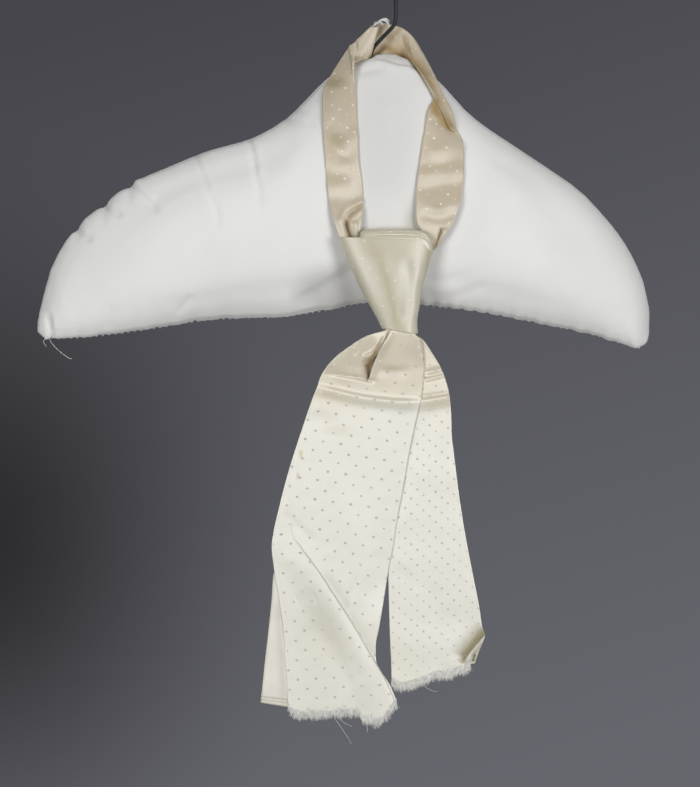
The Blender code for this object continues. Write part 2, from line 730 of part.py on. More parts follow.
def make_lining_tail(lining, parent):
    """The plain lining that shows behind the front blade's left edge."""
    left, right = (curve(LINING_TAIL, "drop", f) for f in ("left", "right"))
    hem = curve(LINING_HEM, "x", "drop")
    start, end = LINING_TAIL[0].drop, LINING_TAIL[-1].drop
    behind = (BLADE_THICK + LINING_THICK) / 2 + SEAM_GAP - LINING_FORWARD
    rows = []
    for base in stations(start, ROWS_LINING):
        row = []
        for x in np.linspace(left(base), right(base), 6):
            drop = hem_drop(base, start, hem, x, end)
            row.append(point(x, front_blade_y(drop) + behind, drop))
        rows.append(row)
    cloth_wall("lining_tail", rows, [LINING_THICK] * len(rows), lining, parent, flat_on=(0, -1, 0))


def make_fray(name, edge, seed, thread, parent):
    """Loose cut threads below a blade's edge: a narrow strip, each of its lower faces drawn to a strand."""
    chance = random.Random(seed)
    edge_x, edge_y, edge_z = np.array([tuple(p / MM) for p in edge]).T
    first, last = edge_x[0] + FRAY_END_INSET, edge_x[-1] - FRAY_END_INSET
    count = round((last - first) / STRAND_PITCH)
    half = FRAY_THICK / 2
    mesh_data = bmesh.new()
    rings = []
    for x in np.linspace(first, last, count + 1):
        middle = float(np.interp(x, edge_x, edge_y))
        top = SEAM_GAP - float(np.interp(x, edge_x, edge_z))
        bottom = top + FRAY_STRIP_HEIGHT
        corners = [(-half, top), (half, top), (half, bottom), (-half, bottom)]
        rings.append([mesh_data.verts.new(point(x, middle + y, drop)) for y, drop in corners])
    roots = []
    for a, b in zip(rings, rings[1:]):
        for k in range(4):
            face = mesh_data.faces.new((a[k], a[(k + 1) % 4], b[(k + 1) % 4], b[k]))
            if k == 2:
                roots.append(face)
    mesh_data.faces.new(rings[0])
    mesh_data.faces.new(rings[-1])
    bmesh.ops.recalc_face_normals(mesh_data, faces=mesh_data.faces)
    strands = bmesh.ops.extrude_discrete_faces(mesh_data, faces=roots)["faces"]
    for face in strands:
        centre = face.calc_center_median()
        length = STRAND_LENGTH * chance.uniform(STRAND_SHORTEST, STRAND_LONGEST)
        sway = chance.uniform(-STRAND_SWAY, STRAND_SWAY)
        for vert in face.verts:
            vert.co = centre + (vert.co - centre) * STRAND_TAPER + point(sway, 0, length)
    finish(name, mesh_data, thread, parent)


def main():
    for piece in list(bpy.data.objects):
        bpy.data.objects.remove(piece)
    cravat = bpy.data.objects.new("cravat", None)
    hanger = bpy.data.objects.new("hanger", None)
    for holder in (cravat, hanger):
        bpy.context.collection.objects.link(holder)
    silk = material("cream satin", (0.80, 0.76, 0.66), 0.38)
    neck_silk = material("neckband satin", (0.62, 0.54, 0.41), 0.38)
    lining = material("plain lining", (0.82, 0.79, 0.70), 0.6)
    thread = material("frayed thread", (0.90, 0.88, 0.82), 0.8)
    cover = material("white muslin", (0.74, 0.74, 0.72), 0.85)
    wire = material("black wire", (0.02, 0.02, 0.02), 0.4, metallic=0.6)

    make_pad(cover, hanger)
    make_hook(wire, hanger)
    make_front_band("band_left", BAND_LEFT, ROWS_BAND_LEFT, BAND_LEFT_FOLDS, neck_silk, cravat)
    make_front_band("band_right", BAND_RIGHT, ROWS_BAND_RIGHT, BAND_RIGHT_FOLDS, neck_silk, cravat)
    make_band_top(neck_silk, cravat)
    make_knot_wrap(silk, cravat)
    make_knot_core(silk, cravat)
    make_knot_roll(silk, cravat)
    front_edge = make_front_blade(silk, cravat)
    back_edge = make_back_blade(silk, cravat)
    make_lining_tail(lining, cravat)
    make_fray("fray_front", front_edge, 3, thread, cravat)
    make_fray("fray_back", back_edge, 5, thread, cravat)


main()
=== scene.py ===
"""A cream satin cravat, tied in a four-in-hand knot, on its padded hanger.

Tables are in millimetres in the part's own frame: x to the viewer's right, y away from the viewer, and
drop, the distance below the inner top of the hook's crook, so z = -drop. Heights of folds are towards
the outside of the cloth. Sizes in the sidebar are in metres.
"""

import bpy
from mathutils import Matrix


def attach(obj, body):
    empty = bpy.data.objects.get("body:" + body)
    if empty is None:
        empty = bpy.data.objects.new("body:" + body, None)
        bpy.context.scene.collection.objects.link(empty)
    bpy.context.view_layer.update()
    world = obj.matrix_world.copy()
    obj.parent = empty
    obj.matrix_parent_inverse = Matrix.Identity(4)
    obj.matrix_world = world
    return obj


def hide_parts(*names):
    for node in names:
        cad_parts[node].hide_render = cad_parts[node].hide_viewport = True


bl_info = {
    "name": "Cravat on a padded hanger",
    "version": (1, 0, 0),
    "blender": (4, 5, 0),
    "location": "3D View > Sidebar > Cravat",
    "description": "Dresses the packed cravat and its padded hanger in satin, muslin and thread",
    "category": "Object",
}

import random
from collections import namedtuple
from math import cos, pi, radians, sin

import bmesh
import bpy
import numpy as np
from bpy.props import FloatProperty, FloatVectorProperty, IntProperty, PointerProperty
from mathutils import Vector
from mathutils.bvhtree import BVHTree

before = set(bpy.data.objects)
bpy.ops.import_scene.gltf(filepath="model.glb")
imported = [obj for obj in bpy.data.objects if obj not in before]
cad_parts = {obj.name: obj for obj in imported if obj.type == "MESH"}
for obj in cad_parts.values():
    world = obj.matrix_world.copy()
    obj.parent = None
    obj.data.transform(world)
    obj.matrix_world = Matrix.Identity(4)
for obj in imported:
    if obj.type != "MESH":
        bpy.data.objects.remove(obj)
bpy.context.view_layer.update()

MM = 0.001
BODY = "root"
TO_VIEWER = np.array([0.0, -1.0, 0.0])

# Where the neckband's front stretches have their two edges
BandRow = namedtuple("BandRow", "drop left right")
BAND_LEFT = [
    BandRow(78.4, -33.0, -11.3),
    BandRow(86.0, -35.0, -11.0),
    BandRow(92.0, -35.3, -10.6),
    BandRow(114.0, -34.5, -9.6),
    BandRow(136.0, -33.0, -8.6),
    BandRow(152.5, -31.5, -6.3),
    BandRow(168.5, -29.6, -5.8),
    BandRow(179.5, -26.4, -6.6),
    BandRow(191.5, -22.6, -8.2),
    BandRow(203.0, -12.0, -0.5),
    BandRow(211.0, -6.0, 4.0),
]
BAND_RIGHT = [
    BandRow(90.0, 46.0, 52.0),
    BandRow(99.4, 41.2, 56.0),
    BandRow(106.0, 39.6, 59.0),
    BandRow(112.6, 38.8, 61.5),
    BandRow(120.0, 37.4, 65.6),
    BandRow(127.5, 36.2, 67.0),
    BandRow(148.5, 33.5, 67.0),
    BandRow(158.5, 32.5, 65.5),
    BandRow(172.0, 32.4, 62.5),
    BandRow(181.0, 33.4, 58.8),
    BandRow(187.0, 37.0, 55.0),
    BandRow(193.0, 40.0, 50.5),
    BandRow(200.0, 37.0, 46.0),
    BandRow(207.0, 29.0, 36.0),
    BandRow(211.0, 24.0, 31.0),
]

# The neckband's top stretch, from the right shoulder round behind the hook to the left shoulder
LoopRow = namedtuple("LoopRow", "outer_x outer_y outer_drop inner_x inner_y inner_drop")
BAND_TOP = [
    LoopRow(61.0, -21.5, 114.6, 59.4, -22.8, 114.9),
    LoopRow(61.2, -20.3, 112.0, 57.6, -23.9, 113.2),
    LoopRow(60.4, -18.2, 107.0, 55.0, -23.2, 109.0),
    LoopRow(57.5, -15.4, 97.5, 51.0, -21.2, 100.0),
    LoopRow(51.5, -11.5, 86.0, 45.0, -18.2, 89.0),
    LoopRow(44.0, -2.0, 71.5, 39.5, -14.5, 77.0),
    LoopRow(37.5, 5.0, 58.0, 34.5, -11.0, 70.0),
    LoopRow(30.5, 9.0, 46.0, 29.5, -5.0, 64.0),
    LoopRow(22.0, 11.5, 38.5, 22.0, 10.0, 61.5),
    LoopRow(13.0, 12.5, 36.0, 12.5, 13.5, 59.8),
    LoopRow(6.0, 11.0, 34.6, 4.0, 10.5, 59.5),
    LoopRow(3.0, 6.0, 34.4, -3.0, 5.0, 59.5),
    LoopRow(5.0, 0.0, 37.0, -1.6, -1.5, 60.5),
    LoopRow(5.2, -3.0, 38.4, -0.8, -5.0, 61.0),
    LoopRow(0.5, -4.0, 38.5, -4.5, -8.0, 62.2),
    LoopRow(-7.0, -3.5, 45.0, -8.5, -12.0, 63.8),
    LoopRow(-15.3, -3.0, 53.0, -11.6, -15.2, 65.0),
    LoopRow(-21.5, -2.5, 61.5, -11.7, -16.5, 69.5),
]

# The knot's sleeve at each drop, as in the solid
KnotRow = namedtuple("KnotRow", "drop left right front back")
KNOT = [
    KnotRow(188.0, -25.5, 44.5, -51.0, -29.4),
    KnotRow(200.0, -20.5, 44.5, -52.0, -29.4),
    KnotRow(209.0, -16.5, 42.0, -52.5, -29.6),
    KnotRow(217.5, -12.5, 39.5, -52.5, -30.0),
    KnotRow(229.0, -7.0, 36.5, -51.5, -31.0),
    KnotRow(242.5, 0.5, 34.6, -49.5, -32.4),
    KnotRow(251.5, 5.5, 33.4, -48.5, -33.0),
    KnotRow(262.0, 10.0, 33.8, -48.0, -33.2),
]
FRONT_SQUARENESS = 2.4
BACK_SQUARENESS = 2.9
KNOT_TOP_FRONT = 192.0
KNOT_TOP_BACK = 206.0
KNOT_BOTTOM_LEFT = 257.0
KNOT_BOTTOM_RIGHT = 260.6

# The turn behind the knot's upper rim
RollRow = namedtuple("RollRow", "x top depth")
ROLL = [
    RollRow(-8.0, 189.5, 3.5),
    RollRow(-6.0, 187.0, 6.0),
    RollRow(0.0, 186.2, 6.8),
    RollRow(15.0, 186.2, 6.8),
    RollRow(28.0, 186.2, 6.4),
    RollRow(36.0, 187.0, 5.6),
    RollRow(41.0, 189.4, 4.4),
    RollRow(43.5, 193.0, 2.6),
]
ROLL_Y = -42.4
ROLL_BOTTOM = 203.0

# The blades at each drop. "crease" is the front blade's pleat, and lower down its folded-over corner
BladeRow = namedtuple("BladeRow", "drop left crease right")
BLADE_FRONT = [
    BladeRow(251.6, 13.5, 19.0, 29.0),
    BladeRow(257.8, 10.0, 13.6, 30.5),
    BladeRow(261.2, -1.0, 12.4, 32.5),
    BladeRow(264.0, -7.0, 11.0, 35.0),
    BladeRow(269.5, -15.5, 8.0, 36.5),
    BladeRow(276.5, -24.8, 4.2, 37.2),
    BladeRow(285.0, -32.5, 1.0, 38.0),
    BladeRow(292.0, -36.6, -1.4, 37.8),
    BladeRow(298.0, -38.6, -5.0, 37.2),
    BladeRow(308.0, -42.5, -16.0, 36.0),
    BladeRow(322.5, -47.5, -24.0, 32.5),
    BladeRow(351.5, -57.0, -40.0, 26.5),
    BladeRow(367.0, -61.5, -47.0, 24.0),
    BladeRow(391.0, -67.5, -56.0, 19.5),
    BladeRow(403.0, -70.2, -57.0, 17.5),
    BladeRow(414.0, -71.5, -50.0, 16.0),
    BladeRow(428.5, -70.0, -39.4, 13.0),
    BladeRow(453.5, -66.0, -22.8, 9.0),
    BladeRow(471.5, -63.5, -11.4, 6.0),
    BladeRow(486.0, -62.3, -3.0, 3.4),
    BladeRow(494.5, -62.0, 2.2, 3.6),
    BladeRow(514.0, -60.3, 13.0, 14.0),
    BladeRow(528.0, -60.0, 18.6, 19.8),
]
PanelRow = namedtuple("PanelRow", "drop left right")
BLADE_BACK = [
    PanelRow(251.6, 14.5, 28.0),
    PanelRow(260.8, 13.5, 28.2),
    PanelRow(263.2, 12.0, 35.5),
    PanelRow(266.0, 11.0, 38.5),
    PanelRow(273.5, 9.5, 43.5),
    PanelRow(283.5, 8.5, 49.6),
    PanelRow(294.5, 8.0, 54.0),
    PanelRow(305.5, 7.5, 56.6),
    PanelRow(319.0, 7.5, 57.8),
    PanelRow(332.5, 7.5, 58.2),
    PanelRow(348.5, 8.0, 60.0),
    PanelRow(376.5, 9.5, 63.5),
    PanelRow(404.0, 11.5, 67.8),
    PanelRow(436.5, 12.5, 74.0),
    PanelRow(457.0, 13.0, 78.0),
    PanelRow(471.5, 13.5, 80.2),
    PanelRow(477.5, 13.8, 82.0),
    PanelRow(481.0, 14.0, 81.0),
    PanelRow(486.5, 14.4, 78.6),
    PanelRow(500.0, 14.8, 73.6),
]
LINING = [
    PanelRow(424.0, -67.5, -44.0),
    PanelRow(436.0, -70.5, -44.0),
    PanelRow(452.0, -71.6, -45.0),
    PanelRow(475.5, -74.0, -48.0),
    PanelRow(502.0, -77.0, -51.0),
    PanelRow(527.0, -79.5, -52.0),
]

# The cut edges
HemPoint = namedtuple("HemPoint", "x drop")
FRONT_HEM = [
    HemPoint(-60.0, 529.5),
    HemPoint(-56.5, 534.6),
    HemPoint(-52.0, 536.2),
    HemPoint(-44.0, 536.4),
    HemPoint(-33.0, 535.6),
    HemPoint(-13.0, 534.2),
    HemPoint(-9.0, 534.6),
    HemPoint(-6.5, 539.4),
    HemPoint(0.0, 540.0),
    HemPoint(5.0, 542.0),
    HemPoint(10.0, 538.6),
    HemPoint(14.0, 532.0),
    HemPoint(19.8, 527.0),
]
BACK_HEM = [
    HemPoint(15.0, 513.5),
    HemPoint(22.0, 516.0),
    HemPoint(30.0, 514.5),
    HemPoint(36.0, 512.5),
    HemPoint(43.0, 509.5),
    HemPoint(47.0, 508.0),
    HemPoint(55.0, 507.6),
    HemPoint(63.0, 505.0),
    HemPoint(68.0, 503.2),
    HemPoint(71.5, 501.4),
    HemPoint(75.5, 500.8),
]
LINING_HEM = [HemPoint(-79.5, 526.0), HemPoint(-52.0, 530.5)]

# Folds, each along a route of (x, drop): its height, and how far it spreads to the left and the right
# hand of someone who walks the route. Both ends of a fold fade out.
Fold = namedtuple("Fold", "height left right route")
BLADE_FRONT_FOLDS = [
    Fold(2.0, 13.0, 9.0, [(10, 258), (-2, 262), (-16, 268), (-27, 278), (-34, 290)]),
    Fold(1.8, 3.2, 2.0, [(9, 261.4), (8, 266.4), (4.8, 271.5), (0.8, 275.0), (-3.4, 277.2), (-8, 278.6)]),
    Fold(-0.5, 1.6, 2.0, [(-10, 262), (-9, 270), (-13, 277)]),
    Fold(-0.9, 1.5, 1.4, [(-34, 288.8), (-22.3, 290.2), (-12.2, 291.6), (-2.0, 293.8), (4, 294.6)]),
    Fold(-0.35, 1.2, 1.2, [(-16, 280), (-15.4, 285), (-16, 290)]),
    Fold(-0.35, 1.2, 1.2, [(-10.8, 281), (-11, 286), (-12, 290.6)]),
    Fold(1.0, 2.2, 4.6, [
        (-52, 296), (-36, 299.6), (-22.3, 302.8), (-12.2, 305.3), (-2.2, 307.1), (8, 308.4), (18.1, 309.4),
        (33.3, 309.7), (50, 309.6),
    ]),
    Fold(-0.42, 3.6, 3.6, [(2, 286.4), (12, 286.8), (20, 287), (30, 286)]),
    Fold(0.5, 2.2, 3.0, [(14, 256), (12.6, 264), (9, 272), (4.4, 280), (1.8, 292)]),
    Fold(-0.6, 0.8, 0.8, [(35.4, 263), (35.9, 267), (36.6, 273), (36.4, 277)]),
    Fold(-0.40, 6.0, 8.0, [(-70, 316), (-54, 321), (-38, 323), (-14, 328)]),
    Fold(0.25, 9.0, 11.0, [(-26, 345), (-20, 380), (-8, 420), (2, 450)]),
    Fold(-0.2, 3.0, 4.2, [(-64, 389), (-56, 396), (-47, 404), (-38, 414)]),
    Fold(-0.22, 1.0, 2.2, [(-9.5, 434), (-11.5, 441), (-14.5, 454), (-15, 461)]),
    Fold(-0.5, 4.0, 3.0, [(-40, 426), (-26, 447), (-14, 468), (-4, 486), (8, 506)]),
    Fold(-0.28, 0.5, 0.5, [(-54.6, 448), (-53.0, 452), (-51.6, 457)]),
    Fold(-0.28, 0.5, 0.5, [(-41.2, 447), (-40.0, 452), (-40.4, 456)]),
    Fold(-0.25, 10.0, 9.0, [(-52, 470), (-34, 480), (-16, 500), (-6, 516)]),
]
BLADE_BACK_FOLDS = [
    Fold(-0.95, 1.8, 2.0, [(38, 289), (43.5, 287.6), (49, 286.4), (56, 284)]),
    Fold(-0.75, 1.3, 1.5, [(37, 294), (41, 293.2), (46, 292.0), (51, 290.6), (58, 288)]),
    Fold(1.0, 2.2, 5.0, [(24, 310), (35.8, 309.0), (46, 307.6), (55.4, 305.8), (66, 303)]),
    Fold(-0.45, 1.4, 1.2, [(24, 307), (35.8, 306.2), (46, 305.0), (56, 303.4), (66, 301)]),
    Fold(-0.55, 9.0, 8.0, [(58, 312), (50, 316), (42, 324), (36, 336), (28, 360)]),
    Fold(-0.45, 3.5, 4.5, [(34, 312), (30, 335), (27, 352), (23, 380), (18, 400)]),
    Fold(0.25, 8.0, 8.0, [(48, 345), (52, 375), (54, 410), (58, 450)]),
    Fold(-0.15, 5.0, 5.0, [(16, 430), (27, 436), (33, 448)]),
    Fold(-0.28, 5.0, 6.0, [(46, 436), (48, 460), (48, 484), (46, 508)]),
    Fold(-1.7, 0.6, 6.5, [
        (84, 474.2), (79.5, 478.3), (74.4, 484.3), (69.8, 489.7), (67.5, 493.4), (66, 499),
    ]),
    Fold(-1.6, 0.6, 2.6, [(83, 475), (79.5, 478.3), (74.4, 484.3), (69.8, 489.7), (67.5, 493.4), (66, 499)]),
    Fold(3.0, 4.4, 0.6, [
        (86, 473.0), (81.2, 478.5), (76.1, 484.9), (71.6, 490.4), (69.0, 494.8), (67.6, 501),
    ]),
    Fold(-1.8, 0.7, 0.8, [(74.0, 488.6), (73.6, 491.6), (73.0, 494.4)]),
]
BAND_LEFT_FOLDS = [
    Fold(0.9, 6.0, 9.0, [(-40, 92), (-30, 88.5), (-20, 82), (-6, 72)]),
    Fold(-0.8, 7.0, 6.0, [(-34, 108), (-26, 114), (-20, 126), (-16, 140)]),
    Fold(0.8, 5.0, 5.0, [(-22, 132), (-16, 123), (-6, 112)]),
    Fold(-0.6, 5.0, 6.0, [(-36, 140), (-26, 146), (-12, 144)]),
    Fold(0.6, 7.0, 7.0, [(-34, 158), (-24, 154), (-10, 158)]),
    Fold(1.3, 3.0, 1.7, [
        (-2, 161), (-7.5, 165.5), (-13, 168), (-18.2, 170.6), (-20.9, 174), (-22, 180), (-20, 188),
    ]),
    Fold(-1.6, 1.8, 1.8, [
        (-2, 166.5), (-7, 168.7), (-12, 171.2), (-16.4, 174.8), (-18.0, 179), (-18.2, 184),
    ]),
    Fold(1.1, 1.5, 1.4, [(-2, 169.5), (-6.4, 171.6), (-10, 174.0), (-13.4, 177.2), (-14.4, 180)]),
    Fold(-4.2, 1.7, 1.7, [
        (-18.0, 177), (-18.0, 181.5), (-17.0, 185.5), (-15.0, 190), (-13.0, 193.6), (-12, 199),
    ]),
    Fold(1.5, 1.2, 1.5, [(-11.8, 178), (-11.0, 183), (-10.4, 188), (-10.0, 200)]),
]
BAND_RIGHT_FOLDS = [
    Fold(-1.6, 4.5, 3.0, [(42, 104), (50, 109), (57, 115), (64, 119), (72, 121)]),
    Fold(0.7, 5.5, 6.5, [(40, 131), (52, 127), (62, 124), (74, 127)]),
    Fold(-0.4, 5.0, 4.0, [(32, 139), (46, 138), (58, 137), (74, 135)]),
    Fold(0.6, 4.5, 5.0, [(28, 147), (44, 145.6), (56, 144), (76, 141)]),
    Fold(-0.5, 4.0, 5.5, [(26, 158), (44, 156), (56, 154), (74, 151)]),
    Fold(0.4, 5.5, 4.0, [(34, 170), (46, 169), (58, 168), (72, 165)]),
    Fold(-0.8, 4.0, 4.0, [(34, 173), (44, 177), (54, 177), (66, 171)]),
    Fold(0.9, 2.6, 2.6, [(32, 186), (37, 189.6), (42.6, 194), (46, 199)]),
    Fold(-2.2, 1.0, 1.3, [(50.6, 183), (50.0, 187), (48.8, 191), (48, 196)]),
    Fold(1.2, 1.4, 1.6, [(54, 184), (52.4, 189), (49.6, 196)]),
]
BAND_TOP_FOLDS = [
    Fold(-1.0, 1.8, 1.8, [(20, 40), (24, 50), (30, 60), (38, 72), (50, 92)]),
    Fold(0.8, 1.4, 1.4, [(24, 38), (30, 48), (36, 58), (42, 68), (52, 86)]),
    Fold(0.9, 1.1, 1.1, [(-16.0, 48), (-14.2, 55), (-12.8, 62), (-12.2, 70), (-12.2, 86)]),
    Fold(-0.9, 1.4, 1.2, [(-12.0, 47), (-10.6, 54), (-9.8, 60), (-9.6, 66)]),
]
KNOT_FOLDS = [
    Fold(-0.8, 10.0, 9.0, [(-4, 186), (4, 206), (12, 226), (17, 244), (19, 266)]),
    Fold(0.25, 7.5, 6.5, [(31, 186), (29.5, 212), (27.5, 236), (26.5, 268)]),
    Fold(0.4, 7.0, 7.0, [(-18, 194), (-6, 216), (2, 236), (8, 256)]),
    Fold(-0.3, 2.6, 2.6, [(39, 194), (36.5, 222), (32.5, 254)]),
]
KNOT_BACK_FOLDS = [
    Fold(-1.3, 6.0, 6.0, [(4, 200), (12, 226), (20, 258)]),
    Fold(1.0, 5.0, 5.0, [(26, 202), (27, 230), (24, 258)]),
]
PAD_FOLDS = [
    Fold(-1.7, 3.0, 2.0, [(-89, 114), (-86.5, 124), (-84, 140), (-82, 158), (-80, 178)]),
    Fold(1.3, 2.2, 3.4, [(-85.5, 116), (-82, 132), (-79, 152)]),
    Fold(-1.6, 2.8, 2.2, [(-129, 128), (-124, 138), (-118, 154), (-112, 172), (-110, 188)]),
    Fold(1.3, 2.4, 3.2, [(-124.5, 130), (-119, 146), (-112, 166)]),
    Fold(-1.6, 2.6, 2.4, [(-176, 150), (-170, 157), (-160, 166), (-152, 174)]),
    Fold(1.1, 2.6, 3.0, [(-171, 148), (-164, 156), (-154, 164)]),
    Fold(-1.8, 2.2, 2.0, [(-196, 164), (-190, 170), (-178, 176)]),
    Fold(-1.8, 2.2, 2.0, [(-216, 182), (-211, 188), (-200, 194)]),
    Fold(-0.9, 2.6, 2.6, [(-66, 106), (-54, 106), (-38, 110)]),
    Fold(-0.8, 2.4, 2.4, [(-60, 98), (-48, 100), (-36, 104)]),
    Fold(-0.9, 3.0, 3.0, [(-12, 72), (0, 70), (12, 66)]),
    Fold(1.3, 0.8, 5.0, [(-2, 62.6), (8, 63.6), (18, 66.6), (28, 68.4), (38, 76)]),
    Fold(-1.0, 4.0, 0.8, [(0, 61.0), (9, 62.0), (19, 65.0), (29, 66.8), (38, 74)]),
    Fold(-3.0, 9.0, 6.0, [(-2, 208), (-20, 220), (-38, 231), (-58, 240)]),
    Fold(-0.6, 3.2, 3.8, [(34, 219), (48, 222), (62, 220), (78, 214)]),
    Fold(0.4, 3.6, 3.6, [(34, 226), (52, 228), (70, 224), (86, 216)]),
    Fold(-0.5, 3.0, 3.4, [(36, 234), (52, 235), (72, 230), (88, 224)]),
    Fold(-0.7, 8.0, 8.0, [(70, 150), (66, 175), (62, 200)]),
    Fold(-0.6, 6.0, 6.0, [(92, 130), (96, 155), (100, 180)]),
    Fold(-2.4, 1.6, 2.0, [(-233, 244), (-232, 254), (-231, 262), (-230, 268)]),
    Fold(-1.2, 3.0, 3.0, [(-140, 246), (-134, 240), (-128, 232)]),
    Fold(-1.0, 3.0, 3.0, [(-190, 258), (-188, 250), (-186, 240)]),
]
PAD_BACK_FOLDS = [
    Fold(-1.4, 4.0, 3.0, [(92, 122), (88, 140), (82, 172)]),
    Fold(-1.3, 3.5, 3.0, [(132, 142), (124, 156), (114, 184)]),
    Fold(-1.4, 2.6, 2.4, [(168, 172), (160, 180), (148, 190)]),
    Fold(-1.3, 3.0, 3.0, [(-40, 98), (-32, 120), (-30, 140)]),
    Fold(-1.5, 5.0, 5.0, [(14, 214), (30, 226), (60, 238)]),
    Fold(-1.5, 2.6, 3.2, [(-78, 214), (-56, 222), (-34, 219)]),
    Fold(-1.6, 3.0, 2.8, [(-150, 150), (-140, 166), (-130, 180)]),
    Fold(-1.6, 2.4, 2.4, [(-200, 174), (-188, 184), (-176, 192)]),
]

# Painted shade in hollows, in pleats, under lips and beside edges, and a few yellowed edges on the lining, as
# routes like the folds: how strongly, and how far to either hand
# On the neckband: painted shade on the loop's inner half and under its right lip, a painted dark hollow
# beside the wire's foot, and painted shade in both pleats
BAND_PAINTED_SHADE = [
    Fold(0.85, 3.0, 3.0, [
        (4, 51), (12, 53.5), (20.7, 58.6), (29, 63), (36, 70), (41.5, 77), (46, 84), (49, 90),
    ]),
    Fold(0.35, 6.0, 6.0, [(8, 40), (14, 46), (24, 54), (36, 64), (46, 78)]),
    Fold(0.6, 1.6, 1.6, [(6.5, 36), (7.2, 42), (6.0, 50)]),
    Fold(1.7, 1.8, 2.4, [(13, 50), (7, 55.4), (1, 60.5), (-3, 63)]),
    Fold(0.95, 4.0, 3.4, [(47, 84), (46.6, 92), (48, 98.5), (52.5, 105), (57, 111), (62, 117)]),
    Fold(0.5, 3.0, 2.0, [(44, 92), (43.6, 98), (47, 104), (52, 110), (58, 115.6)]),
    Fold(0.5, 2.4, 2.4, [(-3, 166), (-9, 170.4), (-13.6, 175), (-15.8, 181), (-15.6, 190)]),
    Fold(1.4, 1.4, 1.8, [(-17.4, 177), (-16.8, 184), (-15.4, 190), (-13.6, 197)]),
    Fold(1.1, 1.2, 1.6, [(51.8, 183), (50.4, 188), (48.4, 193), (45.4, 200)]),
]
# On the knot: painted shade down its trough and along its edges
KNOT_PAINTED_SHADE = [
    Fold(0.45, 7.0, 6.0, [(-10, 178), (4, 206), (12, 226), (17, 244), (20, 276)]),
    Fold(0.6, 1.6, 1.6, [(42.4, 190), (40.6, 208), (38.4, 222), (35.4, 244)]),
    Fold(0.4, 1.4, 1.4, [(-14, 205), (-8, 222), (-1, 236), (6, 254)]),
]
# On the front blade: painted shade in its pleat's hollow
BLADE_PAINTED_SHADE = [
    Fold(0.9, 1.4, 1.8, [(9, 262), (5.4, 269), (1.8, 276), (-1.2, 282), (-2.6, 287), (-2.4, 296)]),
    Fold(0.5, 2.6, 3.0, [(0, 276), (-3.4, 281), (-4, 286), (-3, 292)]),
]
# On the back blade: painted shade in the pocket beside its turned-up corner, and a painted dark hole in the
# corner's strip
BACK_PAINTED_SHADE = [
    Fold(1.0, 0.6, 5.2, [
        (88, 471), (83, 475.6), (79.4, 479.0), (74.4, 484.8), (70.0, 490.2), (67.4, 494.8), (64.6, 502),
    ]),
    Fold(0.5, 1.4, 1.2, [(81, 480), (77.6, 485), (74.8, 490), (73.4, 495), (72.6, 499)]),
    Fold(2.0, 0.7, 0.7, [(75.0, 490.4), (74.4, 492.4), (73.8, 494.8), (73.2, 498)]),
]
# On the lining: yellowed hem and left edge, and a painted shadow beside the front blade's left edge
LINING_WEAR_AND_SHADE = [
    Fold(0.5, 1.0, 1.0, [(-92, 524), (-80, 525.6), (-66, 528), (-40, 532)]),
    Fold(0.45, 1.0, 1.0, [(-66, 400), (-71.4, 450), (-77, 500), (-79.6, 528), (-80.4, 540)]),
    Fold(0.25, 3.0, 3.0, [(-66, 440), (-66, 470), (-64, 500), (-62, 540)]),
]
ROLL_FOLDS = [
    Fold(-0.6, 0.5, 0.6, [(-6, 190.4), (6, 189.8), (20, 189.6), (34, 190.6), (44, 194)]),
    Fold(-0.45, 0.5, 0.5, [(2, 188.2), (14, 187.8), (28, 188.0), (40, 190.4), (46, 194)]),
    Fold(-0.5, 0.6, 0.6, [(26, 186), (34, 188.4), (39, 191.4), (42, 196)]),
]
FOLD_TAPER = 0.22
ROUTE_STEPS = 14

# How the neckband leaves the padding before the knot
Rise = namedtuple("Rise", "height start length")
LEFT_RISE = Rise(5.0, 160.0, 24.0)
RIGHT_RISE = Rise(4.6, 140.0, 46.0)

# How deep each blade's middle lies at the knot and below it, and how thick it is where it is gathered
FRONT_TOP_Y, FRONT_LOW_Y = -43.2, -39.1
BACK_TOP_Y, BACK_LOW_Y = -37.7, -36.4
BLADE_TOP, BLADE_SETTLE = 251.6, 60.0
GATHER_END = 286.0
GATHER_THICK = 4.2

# The hollow of the front blade's pleat
POCKET = [(5.0, 274.0), (-6.2, 279.4), (-2.6, 294.0), (1.0, 294.0), (9.0, 270.0)]
POCKET_DEPTH = 5.0
POCKET_SLOPE = 2.2

# How much of each blade's end has lost its cross threads, and how far apart the tufts are
FRAY_LENGTH = 3.2
TUFT_PITCH = 2.2

# The cover: its reach, its stitches, its gathers, and in metres how slack it is before it is filled
PAD_LEFT, PAD_RIGHT = -241.0, 201.5
STITCH_PITCH = 9.2
PAD_GATHERS = (-174.5, -192.5, -212.0)
PAD_SLACK = 0.0012
WIRE_BORE = 2.6

# The hook's wire, from inside the pad to the crook
WirePoint = namedtuple("WirePoint", "x drop")
WIRE_STEM = [
    WirePoint(0.0, 78.0),
    WirePoint(0.0, 67.0),
    WirePoint(0.0, 59.5),
    WirePoint(1.6, 54.2),
    WirePoint(5.4, 49.4),
    WirePoint(10.2, 44.3),
    WirePoint(14.4, 40.0),
    WirePoint(17.2, 36.0),
    WirePoint(18.0, 31.0),
    WirePoint(18.0, 24.0),
]
WIRE_RADIUS = 1.4
CROOK_RADIUS = 18.0
CROOK_TOP = 16.6
CROOK_END = 186.0

